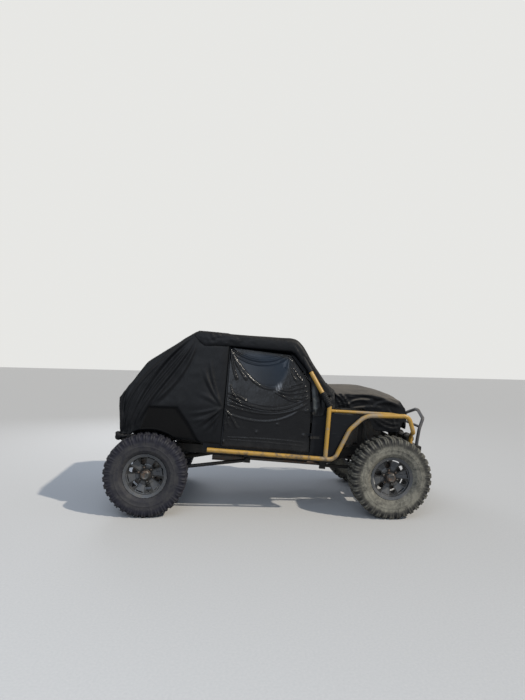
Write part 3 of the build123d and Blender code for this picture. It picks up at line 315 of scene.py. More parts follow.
lamp("sun", "SUN", (0.62, -0.42, 0.72), (0, 0, 0), (1.0, 0.93, 0.82), energy=3.0, angle=math.radians(1.5))
lamp("sky_side", "AREA", (-1.5, -6.0, 4.5), (0, 0, 0.9), (0.75, 0.85, 1.0), energy=140.0, size=4.0)
lamp("sky_back", "AREA", (-2.0, 5.0, 4.0), (0, 0, 1.0), (0.85, 0.90, 1.0), energy=120.0, size=3.0)
print("lamps:", len(bpy.data.lights))

# %% [markdown]
# Most new pieces are grids. A function of two parameters gives an array of points n by m, and the faces
# between them follow from the numbering alone, so no loop runs over the points.


# %% Grids into meshes
def grid_faces(n, m, start=0, wrap_n=False, wrap_m=False):
    """Quads between neighbours of an n by m grid numbered row by row, closed round either way on request."""
    i, j = np.meshgrid(np.arange(n - (not wrap_n)), np.arange(m - (not wrap_m)), indexing="ij")
    i2, j2 = (i + 1) % n, (j + 1) % m
    corners = [i * m + j, i2 * m + j, i2 * m + j2, i * m + j2]
    return start + np.stack(corners, -1).reshape(-1, 4)


def make_piece(name, points, faces, paint, uv=None, masks=None):
    """A mesh object from arrays of points and faces, with UVs in metres and named values for each point."""
    mesh = bpy.data.meshes.new(name)
    mesh.from_pydata(np.asarray(points, float).reshape(-1, 3).tolist(), [], faces.tolist())
    mesh.materials.append(paint)
    mesh.shade_smooth()
    if uv is not None:
        loops = np.zeros(len(mesh.loops), np.int64)
        mesh.loops.foreach_get("vertex_index", loops)
        layer = mesh.uv_layers.new(name="UVMap")
        layer.data.foreach_set("uv", np.asarray(uv, float).reshape(-1, 2)[loops].ravel())
    for key, values in (masks or {}).items():
        layer = mesh.attributes.new(key, "FLOAT", "POINT")
        layer.data.foreach_set("value", np.asarray(values, np.float32).ravel())
    piece = bpy.data.objects.new(name, mesh)
    bpy.context.scene.collection.objects.link(piece)
    return piece


def finish_piece(piece, body, slot, *nodes):
    """Seats a piece on its body and hides the nodes it replaces; its slot is not used."""
    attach(piece, body)
    if nodes:
        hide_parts(*nodes)
    return piece


FLOOR_HALF = 30.0
floor_paint = Paint("pale_floor")
floor_tone = floor_paint.mix(floor_paint.noise(60.0), (0.42, 0.42, 0.41), (0.52, 0.51, 0.49))
floor_corners = FLOOR_HALF * np.array([(-1, -1, 0), (1, -1, 0), (1, 1, 0), (-1, 1, 0)])
floor_look = floor_paint.surface(Base_Color=floor_tone, Roughness=0.9)
make_piece("floor", floor_corners, np.array([[0, 1, 2, 3]]), floor_look)
print("floor half size:", FLOOR_HALF)

# %% [markdown]
# Folds are the heart of this picture. Cloth folds are narrow crests with broad hollows between them, so a
# plain sine looks wrong. The crest below is exp(k(cos x - 1)): one at its top and close to nothing over
# most of the rest. Slow noise bends the phase so that no two folds are alike.


# %% Noise and folds as arrays
def hashed(i, seed):
    """A repeatable number from 0 to 1 for each whole number in i."""
    value = np.sin(i * 127.1 + seed * 311.7) * 43758.5453
    return value - np.floor(value)


def drift(x, seed=0):
    """Smooth noise from -1 to 1 along one coordinate: random values at whole numbers, eased between them."""
    base = np.floor(x)
    t = x - base
    t = t * t * (3 - 2 * t)
    return 2 * (hashed(base, seed) * (1 - t) + hashed(base + 1, seed) * t) - 1


def clouds(x, y, seed=0, octaves=3):
    """Smooth noise from -1 to 1 over two coordinates, each octave half as large and twice as fine."""
    total, size = np.zeros(np.broadcast(x, y).shape), 1.0
    for octave in range(octaves):
        ix, iy = np.floor(x), np.floor(y)
        tx, ty = x - ix, y - iy
        tx, ty = tx * tx * (3 - 2 * tx), ty * ty * (3 - 2 * ty)
        at, key = ix + 57.0 * iy, seed + octave
        low, high = (hashed(at + b, key) * (1 - tx) + hashed(at + b + 1, key) * tx for b in (0.0, 57.0))
        total += size * (2 * (low * (1 - ty) + high * ty) - 1)
        x, y, size = x * 2.03 + 17.0, y * 2.03 + 5.0, size / 2
    return total / 1.75


def crest(phase, sharp=2.5):
    """A row of fold crests: exp(k(cos x - 1)), less its average, so that the cloth neither grows nor shrinks."""
    return np.exp(sharp * (np.cos(phase) - 1)) - 0.32


def ease(x, low, high):
    """0 below low, 1 above high, smooth between."""
    t = np.clip((x - low) / (high - low), 0, 1)
    return t * t * (3 - 2 * t)


print("crest at its top:", round(float(crest(0.0)), 2), "between:", round(float(crest(math.pi)), 2))

# %% [markdown]
# Paint and metal finishes. The tubes are mustard paint, rubbed through to primer along their outer side,
# with rust freckles and mud towards the bottom. Painted textures would need an unwrapped mesh for each
# piece. Noise in object coordinates needs none and has the same scale in metres on every piece.


# %% Paint of the tubes
WORN_PAINT = [(0.90, 0.995, 0.17), (0.72, 0.80, 0.12), (0.53, 0.62, 0.12), (1.00, 1.075, 0.10)]  # x, z and reach


def tube_paint():
    """Mustard paint on steel tube: faded patches, grey scuffs, rust freckles and mud near the ground."""
    p = Paint("mustard_paint")
    fade = p.noise(7.0, 5.0)
    scuff = p.noise(26.0, 8.0, 0.72, at=p.place((0.35, 1, 1)), distortion=0.6).step(0.56, 0.66)
    freckle = p.noise(120.0, 6.0, 0.7).step(0.63, 0.75)
    x, z = p.part(0), p.part(2)
    low = 1 - z.step(0.62, 0.82)
    mud = (p.noise(18.0, 8.0, 0.7) * 0.8 + low * 0.22).step(0.56, 0.74)
    worn = 0.0
    for at_x, at_z, reach in WORN_PAINT:
        away = (x - at_x) * (x - at_x) + (z - at_z) * (z - at_z)
        worn = worn + (1 - away.step(0.2 * reach ** 2, reach ** 2))
    worn = (worn * (p.noise(22.0, 7.0, 0.75) + 0.12).step(0.48, 0.70)).clamped()
    paint = p.mix(fade, (0.27, 0.150, 0.022), (0.47, 0.270, 0.044))
    paint = p.mix((scuff * 0.55 + worn * 0.62).clamped(), paint, (0.19, 0.185, 0.175))
    paint = p.mix(freckle * 0.8, paint, (0.13, 0.055, 0.02))
    paint = p.mix(mud * low, paint, (0.10, 0.075, 0.05))
    rough = 0.38 + scuff * 0.22 + mud * 0.35
    normal = p.bump(fade * 0.4 + scuff * 0.6 + p.noise(300.0) * 0.25, 0.5, 0.0015)
    return p.surface(Base_Color=paint, Roughness=rough.clamped(), Normal=normal, Coat_Roughness=0.25, IOR=1.5)


TUBE_PAINT = tube_paint()
print("nodes in the tubes' paint:", len(TUBE_PAINT.node_tree.nodes))

# %% [markdown]
# The frame and the body are dark, so dust and scratches carry their shape. On the frame the dust lies on
# what faces up, found from the normal. On the body fine scratches run along it, from noise stretched
# forward. The Bevel node finds worn edges: it needs no painted map, but it works in Cycles only.


# %% Black frame and blue-grey body
def black_paint(name="chassis_black", tone=0.009, dust=0.35):
    """Black chassis paint with dried dust on what faces up and stone chips."""
    p = Paint(name)
    cloud = p.noise(14.0, 6.0, 0.65)
    chip = p.noise(170.0, 3.0, 0.6).step(0.66, 0.72)
    dusty = ((p.upward().clamped() * 0.7 + 0.25) * cloud.step(0.35, 0.75) * dust).clamped()
    colour = p.mix(dusty, (tone, tone, tone * 1.05), (0.21, 0.175, 0.13))
    colour = p.mix(chip * 0.6, colour, (0.10, 0.06, 0.035))
    normal = p.bump(cloud + p.noise(400.0) * 0.3, 0.35, 0.001)
    return p.surface(Base_Color=colour, Roughness=0.45 + dusty * 0.4, Normal=normal, Specular_IOR_Level=0.3)


def body_paint():
    """Dark blue-grey body paint, dull with dust, with fine scratches along the body."""
    p = Paint("body_blue_grey")
    cloud = p.noise(5.0, 6.0, 0.6)
    scratch = p.noise(90.0, 4.0, 0.6, at=p.place((0.06, 1, 1.0))).step(0.62, 0.70)
    edge = p.edges(0.004)
    colour = p.mix(cloud, (0.0025, 0.0030, 0.0045), (0.007, 0.0085, 0.011))
    colour = p.mix(scratch * 0.20 + edge * 0.20, colour, (0.12, 0.12, 0.12))
    normal = p.bump(cloud * 0.6 + scratch * 0.4, 0.3, 0.001)
    return p.surface(Base_Color=colour, Roughness=0.42 + cloud * 0.25, Normal=normal, Specular_IOR_Level=0.15)


FRAME_PAINT, BODY_PAINT = black_paint(), body_paint()
print("nodes in the frame's and body's paint:", [len(p.node_tree.nodes) for p in (FRAME_PAINT, BODY_PAINT)])

# %% [markdown]
# Bare metal is rusty where water stays, and the rims are painted grey and chipped. The light parts of a rim
# are its spokes, and between them the rim is painted near black as shade: a cosine of six times the angle
# about the axle picks the spokes out, so the paint follows the modelled spokes and no mask has to be drawn.


# %% Steel and wheel paint
def bare_steel(name, bright, rust):
    """Grey steel with a brown film of rust in cloudy patches."""
    p = Paint(name)
    cloud = p.noise(22.0, 7.0, 0.68)
    grain = p.noise(350.0, 2.0)
    rusty = (cloud.step(0.42, 0.72) * rust).clamped()
    colour = p.mix(rusty, (bright, bright, bright * 0.98), (0.115, 0.058, 0.028))
    normal = p.bump(cloud * 0.5 + grain * 0.5, 0.4, 0.0012)
    return p.surface(Base_Color=colour, Roughness=0.36 + rusty * 0.45, Metallic=0.85 - rusty * 0.7, Normal=normal)


SPOKE_COUNT, SPOKE_TURN = 6, math.radians(12)


def wheel_paint(end, middle):
    """Grey wheel paint, chipped to metal at its edges, dusty on the spokes, and painted near black between them as
    shade.
    The spokes' share is the cosine of six times the angle about the axle, counted the other way on the left."""
    p = Paint(f"wheel_grey_{end}")
    x, z = p.part(0) - float(middle[0]), p.part(2) - float(middle[2])
    hand = 1 - 2 * p.part(1).step(-0.01, 0.01)
    angle = p.node("ShaderNodeMath", {"operation": "ARCTAN2"}, {0: z * hand, 1: x})
    star = p.node("ShaderNodeMath", {"operation": "COSINE"}, {0: (angle - SPOKE_TURN) * SPOKE_COUNT}).step(-0.15, 0.25)
    away = p.node("ShaderNodeMath", {"operation": "SQRT"}, {0: x * x + z * z})
    star = (star * away.step(0.060, 0.085) + away.step(0.184, 0.196)).clamped()
    cloud = p.noise(17.0, 6.0, 0.66)
    edge = p.edges(0.0035)
    chip = (edge * p.noise(60.0, 4.0, 0.7).step(0.40, 0.60)).clamped()
    dusty = cloud.step(0.40, 0.78)
    # painted shade: near black between the spokes, grey on the spokes and on the rim's lip
    ground = p.mix(star, (0.006, 0.0065, 0.0075), (0.052, 0.056, 0.062))
    colour = p.mix(dusty * (0.15 + 0.45 * star), ground, (0.130, 0.120, 0.105))
    colour = p.mix(chip * 0.8, colour, (0.30, 0.31, 0.33))
    normal = p.bump(cloud * 0.5 + p.noise(500.0) * 0.5, 0.35, 0.0008)
    return p.surface(Base_Color=colour, Roughness=0.38 + dusty * 0.35, Metallic=0.25 + chip * 0.5, Normal=normal)


RIM_PAINT = {"front": wheel_paint("front", FRONT_WHEEL), "rear": wheel_paint("rear", REAR_WHEEL)}
print("rim paints:", list(RIM_PAINT))

# %% [markdown]
# What is left is small: plastic with a moulded grain, glass and lamp lenses. The table then gives each slot
# of the record its finish. Two finishes go by node: the rear rims need their own middle for the spokes'
# angle, and the hoop in front is a greyer black than the frame.


# %% Plastic, glass, lenses and the table of finishes
def plastic():
    """Moulded black plastic with a fine grain and a grey bloom."""
    p = Paint("grained_plastic")
    bloom = p.noise(11.0, 4.0)
    grain = p.noise(900.0, 1.0)
    colour = p.mix(bloom, (0.015, 0.015, 0.016), (0.045, 0.044, 0.042))
    return p.surface(Base_Color=colour, Roughness=0.5 + bloom * 0.2, Normal=p.bump(grain, 0.5, 0.0004))


def window_glass():
    """Dusty tinted glass that is seen through."""
    p = Paint("dusty_glass")
    dust = p.noise(12.0, 6.0, 0.6).step(0.35, 0.85)
    colour = p.mix(dust, (0.05, 0.07, 0.08), (0.30, 0.29, 0.26))
    return p.surface(Base_Color=colour, Roughness=0.06 + dust * 0.3, Alpha=0.42 + dust * 0.35, IOR=1.5)


def lens_glass(name, colour):
    """A lamp lens: clear or red, with the ribs of a moulded lens."""
    p = Paint(name)
    rib = p.node("ShaderNodeTexWave", {"bands_direction": "Y"}, {"Vector": p.place(), "Scale": 28.0})
    dust = p.noise(24.0, 5.0).step(0.35, 0.8)
    tint = p.mix(dust * 0.35, colour, (0.14, 0.11, 0.09))
    return p.surface(Base_Color=tint, Roughness=0.08 + dust * 0.4, Normal=p.bump(rib, 0.4, 0.001), Coat_Weight=0.6)


FINISHES = {
    "tube_paint": TUBE_PAINT,
    "frame_black": FRAME_PAINT,
    "spring_steel": black_paint("spring_enamel", 0.02, 0.35),
    "cast_iron": bare_steel("cast_housing", 0.16, 0.55),
    "body_paint": BODY_PAINT,
    "glass": window_glass(),
    "plastic": plastic(),
    "lens": lens_glass("lamp_lens", (0.55, 0.57, 0.58)),
    "red_lens": lens_glass("tail_lens", (0.30, 0.012, 0.010)),
    "exhaust_steel": bare_steel("exhaust_tube", 0.07, 0.9),
    "wheel_steel": RIM_PAINT["front"],
    "hub_steel": bare_steel("hub_bronze", 0.10, 0.95),
}
OWN_FINISH = dict.fromkeys(("rim_rear_right", "rim_rear_left"), RIM_PAINT["rear"])
OWN_FINISH["front_hoop"] = black_paint("hoop_grey", 0.060, 0.6)
painted = 0
for part in frame["record"]["subparts"]:
    if part["material_slot"] in FINISHES:
        mesh = frame["nodes"][part["node"]].data
        mesh.materials.clear()
        mesh.materials.append(OWN_FINISH.get(part["node"], FINISHES[part["material_slot"]]))
        painted += 1
print("nodes painted:", painted)

# %% [markdown]
# A cover is one sheet, so its grid is one mesh. The helpers here resample a given line, find each
# point's normal from the faces round it, relax sharp corners the way cloth rounds them, and lay folds.
# A fold is a ridge along a short curve, steep on one side and easy on the other, which tapers at its ends.

# %% Lines, normals, relaxing and folds
def walk(points, count):
    """The columns of a polyline's points, the length walked to each, and count even steps of that length."""
    points = np.asarray(points, float)
    walked = np.concatenate([[0], np.cumsum(np.linalg.norm(np.diff(points, axis=0), axis=1))])
    return points.T, walked, np.linspace(0, walked[-1], count)


def along(points, count):
    """Count points spaced evenly by length along a polyline, of any number of coordinates."""
    columns, walked, at = walk(points, count)
    return np.stack([np.interp(at, walked, column) for column in columns], -1)


def bent(points, count=20):
    """A smooth curve near given points: a cubic, or less for few points, fitted to each coordinate."""
    columns, walked, at = walk(points, count)
    degree = min(3, len(points) - 1)
    return np.stack([np.polyval(np.polyfit(walked, column, degree), at) for column in columns], -1)


def normals_of(points, faces):
    """Unit normal at each point: the sum of the cross products of the diagonals of the quads round it."""
    a, b, c, d = (points[faces[:, k]] for k in range(4))
    cross = np.cross(c - a, d - b)
    total = np.zeros_like(points)
    for k in range(4):
        np.add.at(total, faces[:, k], cross)
    return total / np.maximum(np.linalg.norm(total, axis=1, keepdims=True), 1e-12)


def faced(points, faces, way):
    """The faces, turned over if their normals point against way more than along it."""
    return faces if (normals_of(points, faces) * way).sum() >= 0 else faces[:, ::-1]


def area_of(points, faces):
    """Area of a surface of quads: half the cross product of each quad's diagonals, summed."""
    a, b, c, d = (points[faces[:, k]] for k in range(4))
    return float(np.linalg.norm(np.cross(c - a, d - b), axis=1).sum() / 2)


def relaxed(points, faces, rounds, keep):
    """Moves each point half way to the average of its neighbours, some rounds over. The kept ones stay."""
    one, two = faces.T.ravel(), faces[:, (1, 2, 3, 0)].T.ravel()
    count = np.bincount(one, minlength=len(points)) + np.bincount(two, minlength=len(points))
    for _ in range(rounds):
        total = np.zeros_like(points)
        np.add.at(total, one, points[two])
        np.add.at(total, two, points[one])
        moved = points / 2 + total / np.maximum(count, 1)[:, None] / 2
        points = np.where(keep[:, None], points, moved)
    return points


def fold(a, b, path, height, width, wide=None, skew=0.35, ends=(0.12, 0.35)):
    """One fold over coordinates a, b: height times exp(-(distance / width)^2) from a curve, with a hollow
    beside it. The width grows from one end to the other, and the height tapers at both."""
    curve = bent(path)
    start, step = curve[:-1], np.diff(curve, axis=0)
    length2 = (step ** 2).sum(1)
    da, db = a[:, None] - start[:, 0], b[:, None] - start[:, 1]
    t = np.clip((da * step[:, 0] + db * step[:, 1]) / length2, 0, 1)
    away2 = (da - t * step[:, 0]) ** 2 + (db - t * step[:, 1]) ** 2
    best = np.argmin(away2, axis=1)
    row = np.arange(len(a))
    side = np.sign(da[row, best] * step[best, 1] - db[row, best] * step[best, 0])
    travel = (best + t[row, best]) / len(step)
    reach = width + ((wide or width) - width) * travel
    d = side * np.sqrt(away2[row, best]) / reach
    ridge = np.exp(-(d / np.where(d > 0, 1 + skew, 1 - skew)) ** 2) - 0.45 * np.exp(-((d + 1.7) / 0.9) ** 2)
    taper = ease(travel, 0, ends[0]) * (1 - ease(travel, 1 - ends[1], 1))
    near = (t[row, best] > 0) & (t[row, best] < 1) | (best > 0) & (best < len(step) - 1)
    return height * ridge * taper * near


def folds(a, b, table, gain=1.0, spread=1.0, **shape):
    """The sum of a table's folds. Its rows are points of (a, b), then height, width at the start and at the end."""
    return sum(
        fold(a, b, path, gain * tall, spread * narrow, spread * wide, **shape) for path, tall, narrow, wide in table
    )


def dent(a, b, at, size2):
    """A round dent or swell: exp(-(da^2 / s + db^2 / t)) about a place, with s and t in square metres."""
    return np.exp(-((a - at[0]) ** 2 / size2[0] + (b - at[1]) ** 2 / size2[1]))


def crumple(a, b, scale, seed):
    """Creased film, from 0 to 1: the valleys of warped noise turned into sharp ridges."""
    warp = 0.35 * clouds(a * scale * 0.7, b * scale * 0.7, seed + 9)
    first = 1 - np.abs(clouds(a * scale + warp, b * scale - warp, seed, 2)) * 1.6
    second = 1 - np.abs(clouds(a * scale * 2.3 - warp, b * scale * 2.3 + warp, seed + 3, 2)) * 1.6
    return np.clip(first, 0, 1) ** 4 * 0.65 + np.clip(second, 0, 1) ** 4 * 0.35


# %% [markdown]
# The big covers are black coated cloth: nearly matt, a little blue where the sky lies on a fold, with a
# fine weave and dust that settled on what faces up. The film on the doors is thin glossy plastic.

# %% Cloth and film
def cover_cloth(name="cover_black", tone=0.0030, dust=0.22, blue=1.35, dust_colour=(0.085, 0.074, 0.060)):
    """Coated black cloth: weave bump in the piece's UV, fine creases, dust on top, and painted shade where the mask of
    a hollow says so.
    """
    p = Paint(name)
    given = {"Vector": p.place(uv=True), "Scale": 260.0, "Distortion": 0.6}
    warp, weft = (p.node("ShaderNodeTexWave", {"bands_direction": way}, given) for way in "XY")
    cloud = p.noise(6.5, 6.0, 0.62)
    crease = p.noise(16.0, 5.0, 0.6, at=p.place((1.0, 1.0, 0.45)), distortion=1.1)
    pressed = p.mask("pressed")
    dusty = (p.upward().step(0.25, 0.95) * (0.40 + 0.60 * cloud.step(0.25, 0.80)) * dust).clamped()
    colour = p.mix(cloud, (tone * 0.75, tone * 0.90, tone * blue), (tone * 1.40, tone * 1.70, tone * 1.6 * blue))
    colour = p.mix(dusty, colour, dust_colour)
    # a paler grey where the mask named worn says so: a strip along the cowl cloth's edge by the door
    colour = p.mix((p.mask("worn") * cloud.step(0.2, 0.6) * 0.8).clamped(), colour, (0.080, 0.086, 0.084))
    # painted shade: near black where the mask of the hollow over the rear wheel arch says so
    colour = p.mix(pressed * 0.85, colour, (0.001, 0.001, 0.0012))
    rough = 0.40 + cloud * 0.14 + pressed * 0.35 + dusty * 0.3
    normal = p.bump(warp * weft, 0.25, 0.0004, before=p.bump(crease * 0.8 + cloud * 0.5, 0.5, 0.007))
    return p.surface(Base_Color=colour, Roughness=rough.clamped(), Normal=normal, Specular_IOR_Level=0.16)


def door_film_paint():
    """Glossy black film: mirror-smooth between its creases, cloudy with dust low down, painted blue over the window as
    a reflection of the sky, with a painted glint.
    """
    p = Paint("glossy_film")
    cloud = p.noise(9.0, 5.0, 0.6)
    crease = p.noise(21.0, 6.0, 0.66, at=p.place((1.0, 1.0, 0.7)), distortion=1.6)
    fine = p.noise(75.0, 3.0, 0.6, distortion=0.8)
    window, scuff = p.mask("window"), p.mask("scuff") * cloud.step(0.30, 0.55)
    x, z = p.part(0), p.part(2)
    low = 1 - z.step(0.66, 0.86)
    painted_sky_gradient = (z * 0.5 + x * 0.5).step(0.56, 0.80)
    dusty = (low * 0.16 * cloud.step(0.3, 0.8) + 0.01).clamped()
    colour = p.mix(cloud, (0.0020, 0.0024, 0.0034), (0.0050, 0.0058, 0.0075))
    # painted reflection: over the window the film is painted blue, bluer towards the top front and darker low at the
    # rear
    colour = p.mix((window * (0.10 + 0.55 * painted_sky_gradient + 0.45 * cloud)).clamped(), colour, (0.0052, 0.0125, 0.0240))
    # painted highlight: a small pale patch by the window's lower front corner, a glint kept in the mask named scuff
    colour = p.mix((scuff * 0.85).clamped(), colour, (0.36, 0.38, 0.41))
    colour = p.mix(dusty, colour, (0.10, 0.095, 0.085))
    rough = 0.13 + cloud * 0.10 + dusty * 0.5
    bumps = (crease * 0.75 + fine * 0.25) * (1 - window * 0.85)
    return p.surface(
        Base_Color=colour, Roughness=rough.clamped(), Normal=p.bump(bumps, 0.6, 0.0065), Specular_IOR_Level=0.24
    )


CLOTH, FILM = cover_cloth(), door_film_paint()


def sheet_piece(
    name, points, faces, height, uv, body="chassis", nodes=(), masks=None, paint=CLOTH,
    slot="cover_cloth", thickness=0.0016, seat=None,
):
    """A cloth sheet: smooth points in body coordinates raised along their normals by height, then moved by seat
    if one is given, set in the ground's axes with a thin wall inwards. The smooth area is what it was cut to."""
    raised = points + normals_of(points, faces) * np.reshape(height, (-1, 1))
    piece = make_piece(name, to_world(*(seat(raised) if seat else raised).T), faces, paint, uv, masks)
    wall = piece.modifiers.new("wall", "SOLIDIFY")
    wall.thickness, wall.offset = thickness, -1.0
    finish_piece(piece, body, slot, *nodes)
    area = area_of(points, faces)
    print(name, "faces", len(piece.data.polygons), "area", round(area, 3))

# %% [markdown]
# The rear cover runs from the doors over the roof, down the sloping back and round the tail. Its grid has
# a row for each station along that profile: up one side from the hem, over the top, and down the other.
# The tail is a second grid that shares the last row's points, so the whole is one closed-seamed sheet.
# A cloth simulation could drape it too, but it would not put the folds where the photograph shows them.

# %% Rear cover: measures and shared helpers
BOW_U, BOW_W = REAR_U - 0.070, BELT_W + 0.375
TAIL_U = BED_END_U - 0.042
COVER_TOP = CAGE_W + TUBE_RADIUS + 0.002
TOP_HALF = CAGE_HALF + TUBE_RADIUS + 0.002
TENT_HALF = BODY_HALF + 0.004
LEAN_HALF = 0.594
HEM_W, FILM_LOW_W, STEP_U = 0.700, 0.6665, REAR_U + 0.572
REAR_W = to_body(REAR_WHEEL)[2]
WHEEL_CLEAR = TYRE_RADIUS + 0.024
COVER_PITCH = 0.0135
SIDE_LENGTH, BACK_WIDTH = 1.13, 1.34
SEAM_GAP, TUCK, TUCK_DEPTH, TUCK_DROP = 0.004, 0.057, (0.036, 0.006), 0.030
HEM_INNER_HALF, HEM_RISE, TAIL_LEAN = 0.62, 0.004, 0.034


def side_half(w):
    """Half width of the covered body at height w: upright to the belt, then leaning in to the roof rail."""
    return np.interp(w, [BELT_W, CAGE_W + TUBE_RADIUS], [TENT_HALF, TOP_HALF])


def hem_line(u):
    """Height of the rear cover's hem: straight, lower by the doors, and lifted in an arc over the tyre."""
    line = np.interp(u, [STEP_U - 0.100, STEP_U - 0.040], [HEM_W, FILM_LOW_W])
    arc = REAR_W + np.sqrt(np.clip(WHEEL_CLEAR ** 2 - (u - REAR_U) ** 2, 0, None))
    return np.where(np.abs(u - REAR_U) < WHEEL_CLEAR, np.maximum(line, arc), line)


def across(over):
    """Shares from -1 to 1 of the points between a row's two edge points, as a row."""
    return np.linspace(-1, 1, over + 2)[None, 1:-1]


def tent(side_u, half, side_w, over, crown=0.0):
    """Rows of points up the right side, over the top and down the left: the top's crown rises by 1 - s^2."""
    right = np.stack([side_u, -half, side_w], -1)
    s = across(over)
    top = np.stack(np.broadcast_arrays(side_u[:, -1:], s * half[:, -1:], side_w[:, -1:] + crown * (1 - s ** 2)), -1)
    return np.concatenate([right, top, right[:, ::-1] * (1, -1, 1)], 1)


def end_faces(n, m, up, over):
    """Faces of a grid of up - 1 by over points that closes the end of an n by m grid and follows it in number:
    its side columns and its top row are points of that grid's last row."""
    last = (n - 1) * m
    block = np.zeros((up, over + 2), int)
    block[:-1, 1:-1] = n * m + np.arange((up - 1) * over).reshape(up - 1, over)
    block[:, 0] = last + np.arange(up)
    block[:, -1] = last + m - 1 - np.arange(up)
    block[-1, 1:-1] = last + up + np.arange(over)
    return np.stack([block[1:, :-1], block[1:, 1:], block[:-1, 1:], block[:-1, :-1]], -1).reshape(-1, 4)


print("rear hem over the tyre and at the tail:", [round(float(hem_line(u)), 3) for u in (REAR_U, TAIL_U)])

# %% [markdown]
# Three small extras keep daylight out: two rows that turn in behind the door's edge, and a strip along each
# side hem. They are part of the same mesh, so they take the same folds, and nothing can slip between them.
# The corners are then relaxed, which rounds them the way cloth rounds over a tube.


# %% Rear cover: the grid
def rear_grid():
    """Points in body coordinates and faces of the rear cover: the main grid and the tail that shares its edge."""
    top = [(DOOR_REAR_U - SEAM_GAP, COVER_TOP), (CAB_REAR_U - 0.105, COVER_TOP), (BOW_U - 0.024, BOW_W + 0.024),
           (TAIL_U, BELT_W + 0.008)]
    rows = round(sum(math.dist(a, b) for a, b in zip(top, top[1:])) / COVER_PITCH)
    up, over = round(SIDE_LENGTH / COVER_PITCH), round(BACK_WIDTH / COVER_PITCH)
    hem_u = np.linspace(DOOR_REAR_U - SEAM_GAP, TAIL_U + 0.010, rows)
    hem = np.stack([hem_u, hem_line(hem_u)], -1)
    t = np.linspace(0, 1, up)[None, :, None]
    side = hem[:, None] * (1 - t) + along(top, rows)[:, None] * t
    main = tent(side[..., 0], side_half(side[..., 1]), side[..., 1], over)
    # two rows turned in along the doors' seam, behind the doors' edge, keep daylight out of the gap
    turned = main[0] - (TUCK_DEPTH[1], 0, 0)
    inside = np.interp(main[0, :, 2], [BELT_W, COVER_TOP], [BODY_HALF - TUCK, LEAN_HALF - TUCK])
    turned[:, 1] = np.clip(turned[:, 1], -inside, inside)
    turned[:, 2] -= TUCK_DROP * ease(main[0, :, 2], COVER_TOP - 0.02, COVER_TOP)
    main = np.concatenate([turned[None] + (TUCK_DEPTH[0], 0, 0), turned[None], main])
    n, m = main.shape[:2]
    edge = main[-1, :up - 1, None]
    tail = np.stack(np.broadcast_arrays(edge[..., 0], -across(over) * edge[..., 1], edge[..., 2]), -1)
    faces = [grid_faces(n, m), end_faces(n, m, up, over)]
    # the side hems turn in, so no daylight shows over the tyre
    hems, row = [], np.arange(n - 1)
    for column in (0, m - 1):
        start = n * m + (up - 1) * over + n * len(hems)
        hems.append(main[:, column] * (1, HEM_INNER_HALF / TENT_HALF, 1) + (0, 0, HEM_RISE))
        one = [row * m + column, (row + 1) * m + column, start + row + 1, start + row]
        faces.append(np.stack(one if column else one[::-1], -1))
    return np.concatenate([main.reshape(-1, 3), tail.reshape(-1, 3), *hems]), np.concatenate(faces), (n, m, up, over)


rear_points, rear_faces, (rows, columns, up, over) = rear_grid()
rear_faces = faced(rear_points, rear_faces, rear_points * (0, 1, 0))
rear_held = np.zeros(len(rear_points), bool)
rear_held[:3 * columns] = True
rear_held[rows * columns + (up - 1) * over:] = True
rear_points = relaxed(rear_points, rear_faces, 7, rear_held)
# the tail leans in towards its hem
low = 1 - ease(rear_points[:, 2], 0.70, BELT_W + 0.02)
far = 1 - ease(rear_points[:, 0], BED_END_U + 0.02, BED_END_U + 0.20)
rear_points[:, 0] += TAIL_LEAN * low * far
print("rear cover grid:", (rows, columns, up, over), "points", len(rear_points))

# %% [markdown]
# The folds follow the photograph. Long ones sweep from the roof's rear corner down to the gathered tail.
# Short ones fan from the place where the cloth is pinched on the door's seam. Over the rear wheel the
# cloth is pressed into the wheel arch, a shallow hollow with a crisp edge, painted near black as shade.

# %% Rear cover: tables of folds
PINCH = (DOOR_REAR_U - 0.020, 1.075)
SWEEPS = [  # points as (u, w), then height, width at the top and width at the tail
    ([(-1.00, 1.81), (-1.166, 1.66), (-1.322, 1.42), (-1.45, 1.22), (-1.556, 1.00), (-1.60, 0.74)],
     0.013, 0.014, 0.026),
    ([(-0.99, 1.78), (-1.068, 1.65), (-1.212, 1.37), (-1.359, 1.145), (-1.471, 0.99), (-1.54, 0.76)],
     0.011, 0.012, 0.026),
    ([(-1.08, 1.76), (-1.25, 1.56), (-1.418, 1.33), (-1.536, 1.13), (-1.592, 0.945), (-1.62, 0.72)],
     0.011, 0.014, 0.020),
    ([(-0.985, 1.74), (-1.02, 1.58), (-1.107, 1.38), (-1.238, 1.20), (-1.373, 1.06)], 0.008, 0.012, 0.030),
    ([(-1.30, 1.53), (-1.40, 1.42), (-1.533, 1.215), (-1.622, 1.04), (-1.645, 0.78)], 0.010, 0.012, 0.018),
    ([(-1.60, 1.24), (-1.675, 1.10), (-1.672, 0.94), (-1.655, 0.72)], 0.009, 0.010, 0.016),
    ([(-1.02, 1.76), (-1.13, 1.60), (-1.27, 1.39), (-1.41, 1.17), (-1.52, 0.98), (-1.575, 0.75)], 0.006, 0.010, 0.016),
    ([(-1.16, 1.70), (-1.33, 1.49), (-1.48, 1.27), (-1.585, 1.06), (-1.625, 0.85)], 0.007, 0.010, 0.014),
    ([(-1.36, 1.10), (-1.46, 0.93), (-1.50, 0.78)], 0.006, 0.010, 0.016),
]
